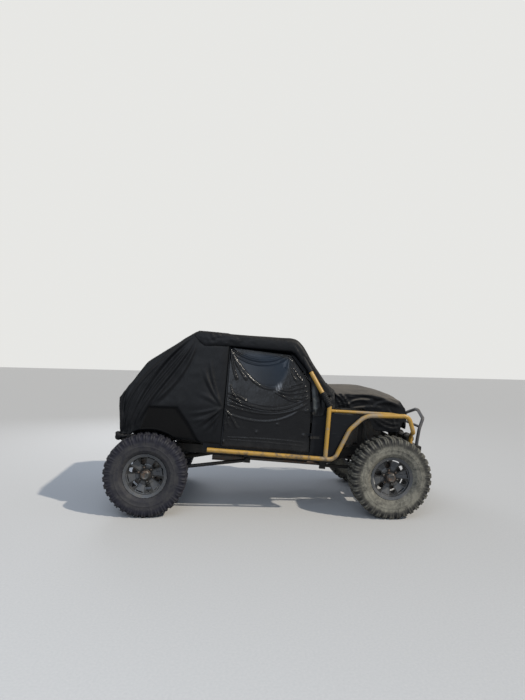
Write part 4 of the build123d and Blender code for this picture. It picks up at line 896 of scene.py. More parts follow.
PULLS = [  # from the pinch on the door's seam
    ([PINCH, (-0.70, 1.13), (-0.776, 1.24), (-0.875, 1.50)], 0.010, 0.008, 0.026),
    ([PINCH, (-0.72, 1.20), (-0.78, 1.36), (-0.83, 1.62)], 0.008, 0.007, 0.022),
    ([PINCH, (-0.772, 0.965), (-0.932, 0.855)], 0.012, 0.008, 0.022),
    ([PINCH, (-0.745, 0.92), (-0.854, 0.80)], 0.011, 0.008, 0.020),
    ([PINCH, (-0.705, 0.90), (-0.745, 0.76)], 0.009, 0.008, 0.018),
    ([PINCH, (-0.86, 1.01), (-1.04, 0.975)], 0.006, 0.008, 0.024),
    ([PINCH, (-0.84, 0.945), (-1.00, 0.90)], 0.007, 0.008, 0.020),
    ([PINCH, (-0.80, 1.16), (-0.96, 1.22)], 0.004, 0.008, 0.034),
]
print("rear cover folds:", len(SWEEPS), "sweeps,", len(PULLS), "pulls")

# %% [markdown] The relief adds up those folds and the finer stir of the cloth, each kept to its own part
# of the cover by an eased mask, so no border shows.

# %% Rear cover: relief, hollow and finish
FOLD_GAIN = 1.75
GATHER = (-1.66, 0.70)
ARCH = [(0.543, 0.316), (0.399, 0.543), (0.259, 0.718), (-0.046, 0.703), (-0.131, 0.407)]


def inside_depth(a, b, corners):
    """How far a point lies inside a convex outline, from its nearest edge line. Negative outside."""
    depth = np.full(a.shape, 9.0)
    for (a0, b0), (a1, b1) in zip(corners, corners[1:] + corners[:1]):
        length = math.hypot(a1 - a0, b1 - b0)
        depth = np.minimum(depth, ((a1 - a0) * (b - b0) - (b1 - b0) * (a - a0)) / length)
    return depth


def rear_relief(points, outward):
    """Height of the rear cover's cloth over its smooth form, and the mask of the hollow at the wheel arch, which also
    paints shade there.
    """
    u, y, w = points.T
    side = ease(np.abs(outward[:, 1]), 0.35, 0.8)
    slip = np.where(y > 0, 0.03 * drift(w * 4.0, 11), 0.0)
    su, sw = u + slip, w - slip
    height = 0.005 + side * folds(su, sw, SWEEPS, FOLD_GAIN, 0.9, ends=(0.25, 0.12))
    height += side * folds(su, sw, PULLS, FOLD_GAIN, skew=-0.3, ends=(0.03, 0.5))
    height += side * (0.008 * clouds(su * 3.2, sw * 3.2, 21) + 0.004 * crumple(su * 0.6, sw * 0.6, 5.0, 23))
    height -= side * 0.006 * dent(su, sw, PINCH, (0.0025, 0.0025))
    # ruffles where the tail is gathered, and small crimps under the roof's edge
    ruffle = (1 - ease(w, 0.72, 1.02)) * (1 - ease(su, -1.60, -1.48))
    height += side * ruffle * 0.015 * crest(su * 120 + 1.5 * drift(w * 9, 4), 1.6)
    height += dent(su, w, GATHER, (0.010, 0.005)) * (0.022 * crumple(su * 1.2, w * 0.8, 16.0, 27) - 0.006)
    under = ease(w, 1.690, 1.715) * ease(su, -0.99, -0.95)
    height = height * (1 - under) + 0.002 * under
    # the sloping back and the tail: folds that run down the slope and close up towards the hem
    back = (1 - side) * (1 - ease(u, CAB_REAR_U - 0.20, CAB_REAR_U - 0.05))
    lower = 1 - ease(w, 0.80, 1.30)
    phase = y * (30 + 24 * lower) + 3.4 * drift(y * 3.1, 8) + 2.4 * clouds(y * 2.2, w * 1.6, 14)
    uneven = 0.55 + 0.45 * clouds(y * 3.7, w * 2.1, 16)
    height += back * uneven * (0.005 + 0.016 * lower) * crest(phase, 1.8)
    height += back * 0.010 * crumple(y * 0.7, w * 0.5, 4.0, 18)
    height += (1 - side) * 0.004 * clouds(u * 4.0, y * 4.0, 51)
    # pressed into the wheel arch; the same mask paints shade there in the cloth's colour
    depth = inside_depth(u - REAR_U, w - REAR_W, ARCH)
    pressed = ease(depth, 0.004, 0.024) * side
    height = height * (1 - 0.75 * pressed) - 0.013 * pressed
    return height, pressed


def clear_of_wheel(points, clearance=0.017):
    """Points nearer to the rear axle's line than the tyre's radius and a clearance, moved straight away from it."""
    away = points[:, [0, 2]] - (REAR_U, REAR_W)
    reach = np.hypot(away[:, 0], away[:, 1])
    points[:, [0, 2]] += away * (np.clip(TYRE_RADIUS + clearance - reach, 0, None) / reach)[:, None]
    return points


def numbers(n, m, first=(0, 0)):
    """Row and column number of each point of a grid, as a UV map in steps of the cloth's pitch."""
    grid = np.meshgrid(first[0] + np.arange(n), first[1] + np.arange(m), indexing="ij")
    return np.stack(grid, -1).reshape(-1, 2) * COVER_PITCH


height, pressed = rear_relief(rear_points, normals_of(rear_points, rear_faces))
from_seam = ease(DOOR_REAR_U - rear_points[:, 0], 0.004, 0.075)
height = np.where(rear_held, 0.002, 0.002 + (height - 0.002) * from_seam)
main_uv, tail_uv = numbers(rows, columns), numbers(up - 1, over, (rows, up))
hem_uv = [main_uv[::columns] - (0, COVER_PITCH), main_uv[columns - 1::columns] + (0, COVER_PITCH)]
sheet_piece(
    "rear_cloth", rear_points, rear_faces, height, np.concatenate([main_uv, tail_uv, *hem_uv]),
    nodes=["rear_cover"], masks={"pressed": pressed},
    seat=clear_of_wheel,
)

# %% [markdown]
# Below the tail the cover is gathered and tied: its hem is rolled up, with a knot of crumpled cloth at each
# corner. The roll is a ring carried along the hem's line. Its radius swells at the corners, and a crumple
# field puckers it.

# %% Rolled hem and knots at the tail
HEM_LINE = np.array([
    (-1.500, -0.742, 0.712), (-1.600, -0.748, 0.704), (-1.670, -0.742, 0.694), (-1.698, -0.715, 0.692),
    (-1.700, -0.600, 0.700), (-1.698, 0.0, 0.704),
])
KNOT = (-1.685, 0.725)
HEM_LENGTH, HEM_CLOTH = 2.0, 2.1  # the roll's own length, and that of the cloth gathered into it


def ringed(middle, one, two, radius, angle):
    """Points of rings round a line: radius cos a along one side vector and radius sin a along the other."""
    return middle + radius[..., None] * (np.cos(angle)[..., None] * one + np.sin(angle)[..., None] * two)


def hem_roll(rows=320, around=30):
    """Rings along the hem and back on the other side: radius from corner swells, crests and crumple noise."""
    line = along(np.concatenate([HEM_LINE, HEM_LINE[-2::-1] * (1, -1, 1)]), rows)
    line = np.stack([np.convolve(np.pad(c, 6, mode="edge"), np.ones(13) / 13, "valid") for c in line.T], -1)
    way = np.gradient(line, axis=0)
    way /= np.linalg.norm(way, axis=1, keepdims=True)
    side = np.cross(way, (0, 0, 1.0))
    side /= np.linalg.norm(side, axis=1, keepdims=True)
    third = np.cross(side, way)
    s, a = np.meshgrid(np.arange(rows) * 2.0 / rows, np.arange(around) * 2 * np.pi / around, indexing="ij")
    corner = dent(line[:, 0], np.abs(line[:, 1]), KNOT, (0.0025, 0.002025))
    ends = ease(np.minimum(np.arange(rows), rows - 1 - np.arange(rows)) / rows, 0.0, 0.04)
    size = (0.007 + 0.007 * ends + 0.020 * corner)[:, None]
    radius = size * (1 + 0.30 * crest(s * 150 + 2 * np.sin(a), 1.4) + 0.28 * clouds(s * 30, np.sin(a) * 1.6 + 2, 151)
                     + 0.35 * crumple(s * 3 + np.cos(a) * 0.05, np.sin(a) * 0.10, 12.0, 153))
    points = ringed(line[:, None], side[:, None], third[:, None], radius, a).reshape(-1, 3)
    return points, faced(points, grid_faces(rows, around, wrap_m=True), points - np.repeat(line, around, 0))


points, faces = hem_roll()
width = round(area_of(points, faces) / HEM_LENGTH, 3)
sheet_piece("tail_roll", points, faces, 0.0, points[:, :2])

# %% [markdown]
# The film over a door is a sheet of thin black plastic, pulled to the pinch on the rear seam and to the
# front corner of the window. Between them it sags in swags, and over the glass it lies smooth. Lumps show
# where a hinge or the handle stands behind it. Film could be simulated as stiff cloth, but its creases are
# finer than any grid that settles in reasonable time, so they are heights over a smooth sheet here.

# %% Door film: measures and tables of folds
DOOR_BELT_W, DOOR_TOP_W, FRAME_TOP_W = 1.117, 1.706, 1.680
FILM_FACE, ROOF_HALF = BODY_HALF + 0.002, 0.590
LEAN_TOP = ROOF_HALF + 0.030
FILM_PITCH, FILM_HIGH, FILM_WIDE = 0.0072, 1.04, 0.92
FILM_TUCK = 0.022
SWAGS = [  # points as (u, w), then height, width at the start and width at the end
    ([(-0.628, 1.694), (-0.514, 1.630), (-0.349, 1.588), (-0.168, 1.605), (-0.03, 1.672)], 0.010, 0.010, 0.012),
    ([(-0.628, 1.672), (-0.50, 1.585), (-0.35, 1.545), (-0.17, 1.565), (-0.02, 1.640)], 0.006, 0.008, 0.010),
    ([(-0.622, 1.663), (-0.53, 1.53), (-0.414, 1.421), (-0.30, 1.335), (-0.19, 1.297), (-0.08, 1.325)],
     0.006, 0.011, 0.014),
    ([(-0.626, 1.192), (-0.47, 1.155), (-0.303, 1.090), (-0.12, 1.089), (0.077, 1.151), (0.25, 1.262)],
     0.016, 0.009, 0.010),
    ([(-0.628, 1.150), (-0.45, 1.118), (-0.28, 1.062), (-0.10, 1.068), (0.09, 1.135), (0.255, 1.236)],
     0.012, 0.007, 0.009),
    ([(-0.630, 1.100), (-0.494, 1.092), (-0.319, 1.040), (-0.088, 1.050), (0.119, 1.128), (0.262, 1.212)],
     0.014, 0.008, 0.010),
    ([(-0.624, 1.225), (-0.52, 1.205), (-0.40, 1.150)], 0.009, 0.007, 0.012),
    ([(-0.630, 1.020), (-0.475, 0.995), (-0.28, 0.950), (-0.11, 0.975), (0.065, 1.059), (0.17, 1.12)],
     0.008, 0.010, 0.012),
    ([(-0.139, 1.284), (-0.012, 1.234), (0.111, 1.225), (0.242, 1.276)], 0.012, 0.006, 0.007),
    ([(-0.119, 1.300), (0.026, 1.268), (0.145, 1.290), (0.240, 1.320)], 0.011, 0.006, 0.007),
    ([(-0.085, 1.262), (0.05, 1.205), (0.16, 1.205), (0.250, 1.250)], 0.009, 0.006, 0.008),
    ([(-0.07, 1.312), (0.05, 1.305), (0.15, 1.345), (0.222, 1.362)], 0.010, 0.006, 0.007),
    ([(0.03, 1.350), (0.10, 1.372), (0.17, 1.402)], 0.009, 0.006, 0.007),
    ([(0.00, 1.660), (-0.045, 1.628), (-0.10, 1.600)], 0.008, 0.006, 0.012),
    ([(0.005, 1.655), (-0.02, 1.600), (-0.035, 1.530)], 0.009, 0.006, 0.012),
    ([(0.012, 1.650), (0.02, 1.55), (0.055, 1.46), (0.10, 1.40)], 0.010, 0.006, 0.012),
    ([(0.03, 1.63), (0.06, 1.54), (0.11, 1.46), (0.17, 1.41)], 0.008, 0.006, 0.009),
    ([(-0.626, 1.690), (-0.605, 1.58), (-0.575, 1.47), (-0.53, 1.36)], 0.011, 0.006, 0.016),
    ([(-0.620, 1.690), (-0.575, 1.58), (-0.50, 1.46), (-0.42, 1.36)], 0.007, 0.006, 0.018),
    ([(-0.630, 1.055), (-0.577, 1.005), (-0.530, 0.940), (-0.480, 0.862)], 0.014, 0.006, 0.014),
    ([(-0.630, 1.050), (-0.602, 0.970), (-0.560, 0.870)], 0.011, 0.006, 0.012),
    ([(-0.632, 1.045), (-0.626, 0.940), (-0.610, 0.830)], 0.009, 0.006, 0.010),
    ([(-0.60, 1.320), (-0.569, 1.247), (-0.522, 1.170), (-0.45, 1.118)], 0.011, 0.007, 0.010),
    ([(-0.58, 1.250), (-0.54, 1.200), (-0.48, 1.150)], 0.010, 0.006, 0.009),
    ([(-0.625, 0.768), (-0.35, 0.778), (-0.05, 0.784), (0.278, 0.772)], 0.005, 0.006, 0.006),
    ([(-0.625, 0.742), (-0.30, 0.748), (0.05, 0.744), (0.280, 0.736)], 0.004, 0.005, 0.005),
]
LUMPS = [  # u, w and radius
    (0.219, 0.850, 0.020), (0.225, 1.110, 0.018), (-0.280, 0.848, 0.014), (-0.067, 0.947, 0.013),
    (-0.615, 0.722, 0.016),
]
WINDOW = [
    (-0.30, 1.345), (-0.165, 1.290), (-0.075, 1.312), (-0.005, 1.470), (0.020, 1.580), (0.015, 1.640),
    (-0.18, 1.668), (-0.46, 1.670), (-0.56, 1.610), (-0.44, 1.450),
]
PAINTED_GLINT = (-0.086, 1.330)
print("film swags:", len(SWAGS), "lumps:", len(LUMPS))

# %% [markdown]
# The grid has the door's outline: straight behind, and in front slanted along the screen post. The left
# door gets the same folds, moved a little by slow noise, so the two sides aren't mirror images.


# %% Door film: grid, relief and pieces
def film_grid(hand):
    """Rows from hem to top and columns from the rear seam to the front edge, leaning in over the belt."""
    rows, columns = round(FILM_HIGH / FILM_PITCH), round(FILM_WIDE / FILM_PITCH)
    up, across = np.meshgrid(np.linspace(0, 1, rows), np.linspace(0, 1, columns), indexing="ij")
    w = FILM_LOW_W + up * (DOOR_TOP_W - across * (DOOR_TOP_W - FRAME_TOP_W) - FILM_LOW_W)
    rear = DOOR_REAR_U + np.interp(w, [FILM_LOW_W, DOOR_BELT_W, DOOR_TOP_W], [0.002, 0.008, 0.004])
    front = np.interp(
        w, [FILM_LOW_W, DOOR_BELT_W, 1.399, FRAME_TOP_W],
        [DOOR_FRONT_U - 0.004, DOOR_FRONT_U - 0.020, FIREWALL_U - 0.224, FIREWALL_U - 0.456],
    )
    u = rear + across * (front - rear)
    y = np.interp(w, [DOOR_BELT_W, DOOR_TOP_W], [FILM_FACE, LEAN_TOP + 0.004])
    points = np.stack([u, hand * y, w], -1).reshape(-1, 3)
    faces = grid_faces(rows, columns)
    return points, (faces if hand > 0 else faces[:, ::-1]), np.stack([across, up], -1).reshape(-1, 2)


def film_relief(points, hand, share):
    """Height of the film over the door, with the masks of the smooth part over the window, which also carries the
    painted sky reflection, and of a painted glint.
    """
    u, w = points[:, 0], points[:, 2]
    if hand > 0:
        u = u + 0.012 * drift(w * 6.0, 41)
        w = w + 0.012 * drift(points[:, 0] * 5.0, 42)
    height = 0.004 + folds(u, w, SWAGS, skew=-0.35, ends=(0.08, 0.12))
    window = ease(inside_depth(u, w, WINDOW), -0.015, 0.035)
    corner, seam = dent(u, w, (0.13, 1.28), (0.012, 0.009)), dent(u, w, (-0.57, 1.19), (0.004, 0.005))
    pinch = dent(u, w, (-0.60, 0.98), (0.005, 0.010))
    creased = np.clip(0.03 + corner + 0.7 * seam + 0.6 * pinch, 0, 1) * (1 - window)
    height += 0.012 * creased * crumple(u * 0.8, w * 1.25, 17.0, 61)
    height += 0.0035 * (1 - window) * clouds(u * 5.0, w * 7.0, 71)
    for at_u, at_w, reach in LUMPS:
        near = np.hypot(u - at_u, w - at_w)
        height += 0.011 * np.exp(-(near / reach) ** 2)
        height += 0.004 * np.exp(-(near / (2.6 * reach)) ** 2) * crest(near * 300, 1.5)
    edge = np.minimum.reduce([share[:, 0], 1 - share[:, 0], share[:, 1], 1 - share[:, 1]])
    height = np.maximum(0.0015, height) * ease(edge, -0.004, 0.03) + 0.001
    # the rear edge is tucked in round the door
    height -= FILM_TUCK * (1 - ease(share[:, 0], 0.0, 0.012))
    # a painted glint by the window's lower front corner, kept in the mask named scuff
    over, up = u - PAINTED_GLINT[0], w - PAINTED_GLINT[1]
    scuff = np.exp(-((over - 0.30 * up) / 0.022) ** 2 - (up / 0.036) ** 2)
    scuff = scuff * (0.35 + 0.65 * crest(over * 210 + up * 60, 1.4))
    return height, {"window": window, "scuff": np.clip(scuff * 1.3, 0, 1)}


for name, hand in HANDS.items():
    points, faces, share = film_grid(hand)
    height, masks = film_relief(points, hand, share)
    sheet_piece(
        f"film_sheet_{name}", points, faces, height, share * (FILM_WIDE, FILM_HIGH),
        f"door_{name}", [f"door_film_{name}"], masks, FILM, "film", 0.0008,
    )

# %% [markdown]
# The roof cover lies over the cage from the doors to the foot of the windscreen. Its sides hang as a band
# that bulges over the roof tube and turns in under it, so the band looks padded. Under the turned-in edge
# the sheet goes back to the door, which keeps daylight out of the gap. Two subdivided planes would do for
# its shape, but one grid between a top line and a lower line keeps the seam with the rear cover exact.

# %% Roof cover
ROOF_LENGTH, ROOF_WIDTH = 1.63, 1.30
TURNED_W, TURNED_IN = (-0.034, 0.003, 0.004), (0.070, 0.064, 0.020)
BAND_BULGE = ((0.02, 1.80), (0.17, 1.60), (0.30, 1.43))


def roof_grid():
    """Rows along the profile from the doors to the screen's foot. The columns are band, top and band."""
    # each station: u and w of the top edge, then u and w of the band's lower edge
    stations = np.array([
        (CAB_REAR_U - 0.098, COVER_TOP, CAB_REAR_U - 0.140, 1.790),
        (CAB_REAR_U - 0.050, COVER_TOP, CAB_REAR_U - 0.080, 1.735),
        (CAB_REAR_U + 0.000, COVER_TOP, CAB_REAR_U - 0.015, 1.692),
        (CAB_REAR_U + 0.120, COVER_TOP, CAB_REAR_U + 0.130, 1.710),
        (DOOR_REAR_U + 0.030, COVER_TOP, DOOR_REAR_U + 0.030, 1.716),
        (FIREWALL_U - 0.470, COVER_TOP, FIREWALL_U - 0.450, 1.716),
        (FIREWALL_U - 0.405, COVER_TOP - 0.014, FIREWALL_U - 0.405, 1.690),
        (FIREWALL_U - 0.345, COVER_TOP - 0.066, FIREWALL_U - 0.370, 1.650),
        (FIREWALL_U - 0.020, COWL_W + 0.132, FIREWALL_U - 0.140, 1.392),
        (FIREWALL_U + 0.004, COWL_W + 0.046, FIREWALL_U - 0.135, 1.275),
    ])
    line = along(stations, round(ROOF_LENGTH / COVER_PITCH))
    t = np.linspace(0, 1, 12)[None, :, None]
    side = line[:, None, 2:] * (1 - t) + line[:, None, :2] * t
    half = side_half(side[..., 1])
    # three more columns turn the lower edge in over the door's top and down behind it
    turned = np.repeat(side[:, :1], 3, 1) + np.array([(0, w) for w in TURNED_W])
    side, half = np.concatenate([turned, side], 1), np.concatenate([half[:, :1] - TURNED_IN, half], 1)
    grid = tent(side[..., 0], half, side[..., 1], round(ROOF_WIDTH / COVER_PITCH))
    return grid.reshape(-1, 3), grid.shape[:2], side.shape[1]


def roof_relief(points, outward, band, held):
    """Height of the roof's cloth: a padded band along each side, a puff over the screen, slow folds on top."""
    u, y, w = points.T
    side = ease(np.abs(outward[:, 1]), 0.30, 0.75)
    rear_end = ease(u, CAB_REAR_U - 0.13, CAB_REAR_U + 0.06)
    bulge = np.sin(np.pi * band) ** 0.7 * side * (0.15 + 0.85 * rear_end)
    lift = 0.006 * (1 - ease(u, DOOR_REAR_U - 0.03, DOOR_REAR_U)) * (0.45 + 0.55 * rear_end)
    puff = np.exp(-((u - 0.10) ** 2 / 0.020)) + 0.5 * np.exp(-((u + 0.15) ** 2 / 0.05))
    height = 0.003 + lift + 0.013 * bulge + 0.016 * puff * (1 - side * 0.5) * ease(w, 1.55, 1.72)
    height += bulge * 0.012 * crumple(u * 0.8, w * 1.6, 11.0, 81) * (0.4 + 0.9 * (1 - ease(u, -0.62, -0.30)))
    crimps = crest(u * 92 + w * 60 + 2.0 * drift(u * 9, 84), 1.5) * (1 - ease(u, -0.80, -0.66))
    height += bulge * 0.007 * crimps * rear_end
    height += (1 - side) * (0.004 * clouds(u * 3.0, y * 3.5, 91) + 0.004 * crest(y * 21 + 2.0 * drift(u * 1.7, 3), 1.2))
    height += side * 0.006 * fold(u, w, BAND_BULGE, 1.0, 0.012, 0.016)
    return np.where(held, 0.002 + lift, np.maximum(height, 0.001 + lift))


roof_points, (rows, columns), band_count = roof_grid()
roof_faces = faced(roof_points, grid_faces(rows, columns), (0, 0, 1))
held = np.ones((rows, columns), bool)
held[1:-1, 4:-4] = False
held = held.ravel()
roof_points = relaxed(roof_points, roof_faces, 5, held)
column = np.minimum(np.arange(columns), columns - 1 - np.arange(columns))
band = np.tile(np.clip((column - 3) / (band_count - 3), 0, 1), rows)
sheet_piece(
    "roof_cloth", roof_points, roof_faces, roof_relief(roof_points, normals_of(roof_points, roof_faces), band, held),
    numbers(rows, columns), nodes=["roof_cover"],
)

# %% [markdown]
# The hood's cover is its own sheet, because it opens with the hood. Its top lies smooth and grey with dust.
# Its sides are slack: they fold in long sweeps from a crumple at the rear corner, and behind the fender
# tube a loose part hangs down into the wheel arch. The front edge turns down over the grille. It is built
# like the rear cover, with the same two helpers, because it is the same kind of sheet on a smaller body.

# %% Hood cover: the grid
HOOD_SECTIONS = np.array([  # station, crown, edge and half width
    (HOOD_REAR_U, 1.358, 1.312, BODY_HALF - 0.140), (FRONT_U - 0.340, 1.380, 1.326, BODY_HALF - 0.144),
    (FRONT_U - 0.215, 1.386, 1.328, BODY_HALF - 0.148), (FRONT_U - 0.020, 1.352, 1.302, BODY_HALF - 0.158),
    (FRONT_U + 0.110, 1.316, 1.276, BODY_HALF - 0.176), (FRONT_U + 0.178, 1.236, 1.206, BODY_HALF - 0.200),
    (FRONT_U + 0.206, 1.152, 1.130, BODY_HALF - 0.215),
])
HOOD_SKIRT, HOOD_GAP = 0.155, 0.004
HOOD_ROWS, HOOD_UP, HOOD_OVER = 78, 26, 84
HANG_START, HANG_END, HANG_W = FRONT_U - 0.30, FRONT_U + 0.17, 0.936


def hood_grid():
    """Rows along the hood: up one skirt, over the crowned top and down the other, then a flap across the front."""
    up, over = HOOD_UP, HOOD_OVER
    u, crown, edge, half = along(HOOD_SECTIONS, HOOD_ROWS).T
    hanging = ease(u, HANG_START, HANG_START + 0.16) * (1 - ease(u, HANG_END - 0.05, HANG_END))
    hem = edge - HOOD_SKIRT
    hem = hem - hanging * (hem - HANG_W)
    side_w = hem[:, None] + np.linspace(0, 1, up) * (edge - hem)[:, None]
    side_u, side_half_width = (np.broadcast_to(v[:, None], side_w.shape) for v in (u, half + HOOD_GAP))
    main = tent(side_u, side_half_width, side_w, over, (crown - edge)[:, None])
    n, m = main.shape[:2]
    # the flap: from the last row's top down to its hem, sharing the side columns
    s, low = across(over), main[-1, :up - 1, 2:]
    share = (low - hem[-1]) / (edge[-1] - hem[-1])
    flap = np.stack(np.broadcast_arrays(
        u[-1] + 0.012 * np.sin(np.pi * share) * (1 - s ** 4), s * (half[-1] + HOOD_GAP),
        low + (1 - s ** 2) * (crown[-1] - edge[-1]) * share,
    ), -1)
    faces = np.concatenate([grid_faces(n, m), end_faces(n, m, up, over)])
    return np.concatenate([main.reshape(-1, 3), flap.reshape(-1, 3)]), faces, m


hood_points, hood_faces, row_length = hood_grid()
hood_faces = faced(hood_points, hood_faces, (0, 0, 1))
hood_points = relaxed(hood_points, hood_faces, 3, np.arange(len(hood_points)) < row_length)
print("hood cover points:", len(hood_points))

# %% [markdown]
# The hood's folds are fewer than the rear's and start at a crumple by its rear corner. Each is a short table
# row, so a fold that stands in the wrong place is moved by two numbers. Sculpting would be quicker for one
# picture, but its strokes can't be read or changed afterwards.

# %% Hood cover: folds and piece
HOOD_FOLDS = [  # points as (u, w), then height, width at the start and width at the end
    ([(0.545, 1.350), (0.62, 1.325), (0.753, 1.342), (0.902, 1.340), (1.099, 1.285), (1.296, 1.224)],
     0.018, 0.012, 0.020),
    ([(0.56, 1.330), (0.634, 1.282), (0.672, 1.233), (0.70, 1.18)], 0.020, 0.010, 0.018),
    ([(0.685, 1.182), (0.722, 1.237), (0.846, 1.269), (0.951, 1.278)], 0.015, 0.010, 0.018),
    ([(0.969, 1.196), (0.997, 1.240), (1.101, 1.262), (1.208, 1.258), (1.296, 1.215)], 0.013, 0.010, 0.018),
    ([(0.73, 1.165), (0.854, 1.190), (0.98, 1.200), (1.10, 1.190)], 0.010, 0.010, 0.016),
    ([(0.95, 1.300), (0.944, 1.236), (0.897, 1.169)], 0.009, 0.009, 0.014),
    ([(0.545, 1.300), (0.60, 1.27), (0.644, 1.210), (0.668, 1.160)], 0.016, 0.010, 0.014),
    ([(0.555, 1.262), (0.585, 1.230), (0.615, 1.180)], 0.013, 0.009, 0.012),
    ([(0.98, 1.08), (1.078, 1.02), (1.19, 0.985), (1.29, 1.01)], 0.012, 0.010, 0.014),
    ([(0.95, 1.12), (1.06, 1.07), (1.19, 1.03), (1.30, 1.05)], 0.010, 0.010, 0.014),
    ([(1.12, 1.20), (1.20, 1.10), (1.23, 0.99)], 0.010, 0.010, 0.014),
]
u, y, w = hood_points.T
side = ease(np.abs(normals_of(hood_points, hood_faces)[:, 1]), 0.40, 0.85)
shift = np.where(y > 0, 0.02 * drift(u * 5.0, 17), 0.0)
height = 0.004 + side * folds(u + shift, w, HOOD_FOLDS, skew=0.4, ends=(0.12, 0.2))
corner = dent(u, w, (0.62, 1.25), (0.010, 0.008))
height += side * (0.006 + 0.016 * corner) * crumple(u * 0.9, w * 1.2, 12.0, 101)
height += (1 - side) * (0.004 * clouds(u * 4.0, y * 4.0, 111) + 0.003 * crumple(u * 0.6, y, 7.0, 121))
slack = ease(np.abs(y), 0.42, 0.56) * (1 - side)
height += slack * 0.006 * crest(u * 38 + 2.2 * drift(u * 6, 5) + y * 9, 1.6)
DUSTY_CLOTH = cover_cloth("cover_hood", tone=0.0034, dust=1.0, dust_colour=(0.120, 0.105, 0.086))
sheet_piece(
    "hood_cloth", hood_points, hood_faces, np.maximum(height, 0.001), hood_points[:, :2],
    "hood", ["hood_cover"], paint=DUSTY_CLOTH,
)

# %% [markdown]
# Between the door, the screen post and the hood the roof cover's slack hangs down inside the yellow tube and
# over the cowl's corner. Its edge by the door is painted a paler grey. Two short wraps of the same cloth go round the
# tube itself. The slack is a grid between four corners that a crumple field makes uneven, and each wrap is
# a ring carried along the tube.

# %% Cowl cloth and wraps on the screen posts
POST_FOOT = np.array([FRONT_U - 0.712, -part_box("side_tubes_right")[0][1] - TUBE_RADIUS, 1.190])
POST_HEAD = np.array([FIREWALL_U - 0.420, CAGE_HALF, CAGE_W])
SLACK = np.array([  # down the door's edge, then down the hood's edge: u, half width, w
    [(0.150, 0.668, 1.530), (0.254, 0.690, 1.396), (0.284, 0.742, 1.140), (0.290, 0.746, 1.050)],
    [(0.225, 0.655, 1.520), (0.365, 0.705, 1.380), (0.420, 0.746, 1.200), (0.400, 0.747, 1.075)],
    [(0.330, 0.610, 1.480), (0.525, 0.620, 1.340), (0.528, 0.690, 1.235), (0.528, 0.712, 1.160)],
])


def slack_grid(hand, rows=76, columns=58):
    """Three listed lines down the cloth, resampled, with straight cloth between them."""
    lines = np.stack([along(line, rows) for line in SLACK])
    at = np.linspace(0, 2, columns)
    k = np.minimum(at.astype(int), 1)
    t = (at - k)[:, None, None]
    points = lines[k] * (1 - t) + lines[k + 1] * t
    outside = (points[..., 0] < FIREWALL_U + 0.01) & (points[..., 2] < COWL_W + 0.010)
    points[..., 1] = np.where(outside, np.maximum(points[..., 1], BODY_HALF + 0.005), points[..., 1]) * hand
    return points.reshape(-1, 3), grid_faces(columns, rows), (columns, rows)


def wrap_grid(hand, start, end, loose, seed, rows=44, around=40):
    """Rings round the screen post from one share of its length to another, puckered by two crossed noises."""
    foot, head = POST_FOOT * (1, hand, 1), POST_HEAD * (1, hand, 1)
    way = (head - foot) / np.linalg.norm(head - foot)
    across = np.cross(way, (0, 1, 0))
    across /= np.linalg.norm(across)
    third = np.cross(way, across)
    s, a = np.meshgrid(np.linspace(start, end, rows), np.arange(around) * 2 * np.pi / around, indexing="ij")
    radius = TUBE_RADIUS + 0.0035 + 0.004 * (1 + clouds(s * 40 + np.cos(a), np.sin(a) * 1.5 + 3, seed)) * loose
    radius = radius + loose * 0.003 * crest(s * 240 + 2 * np.sin(a), 1.5)
    middle = foot + (head - foot) * s[..., None]
    points = ringed(middle, across, third, radius, a)
    faces = faced(points.reshape(-1, 3), grid_faces(rows, around, wrap_m=True), (points - middle).reshape(-1, 3))
    return points.reshape(-1, 3), faces, float(np.linalg.norm(head - foot)) * (end - start)


WRAPS = {"high": (0.53, 0.93, 0.7), "low": (-0.01, 0.20, 1.6)}  # shares of the post's length, and slackness
SLACK_FOLDS = [
    ([(0.29, 1.44), (0.33, 1.30), (0.36, 1.10)], 0.012, 0.012, 0.018),
    ([(0.42, 1.37), (0.49, 1.29), (0.515, 1.19)], 0.014, 0.012, 0.018),
]
for name, hand in HANDS.items():
    points, faces, (columns, rows) = slack_grid(hand)
    edge = np.zeros((columns, rows), bool)
    edge[0], edge[:, 0] = True, True
    points = relaxed(points, faces, 6, edge.ravel())
    u, y, w = points.T
    lift = 0.003 + 0.016 * crumple(u * 0.9, w * 0.7, 9.0, 131) + 0.006 * clouds(u * 8, w * 6, 133)
    lift = np.where(edge.ravel(), 0.0015, np.maximum(lift + folds(u, w, SLACK_FOLDS), 0.001))
    share = np.repeat(np.linspace(0, 1, columns), rows)
    # a paler grey strip along the cloth's edge by the door, kept in the mask named worn
    worn = np.exp(-((share - 0.10) / 0.07) ** 2) * ease(w, 1.08, 1.15) * (1 - ease(w, 1.33, 1.40))
    sheet_piece(
        f"cowl_cloth_{name}", points, faced(points, faces, (0, hand, 0)), lift, np.stack([w, u], -1),
        masks={"worn": worn},
    )
    for end, (start, stop, loose) in WRAPS.items():
        points, faces, length = wrap_grid(hand, start, stop, loose, 141)
        flat = (round(1.05 * area_of(points, faces) / length, 3), round(1.02 * length, 3))
        sheet_piece(f"post_wrap_{end}_{name}", points, faces, 0.0, points[:, :2])

# %% [markdown]
# The seats show only when a door is open. Each cushion and each back is a crowned closed form: a block whose
# six faces swell in the middle and pull in at the seams, cut by two sewn channels. A bevelled box would be
# as quick, but it would look like wood: it is the swell between the seams that says there is padding.

# %% Seats
SEAT_U, SEAT_FLOOR = FIREWALL_U - 0.960, 0.625


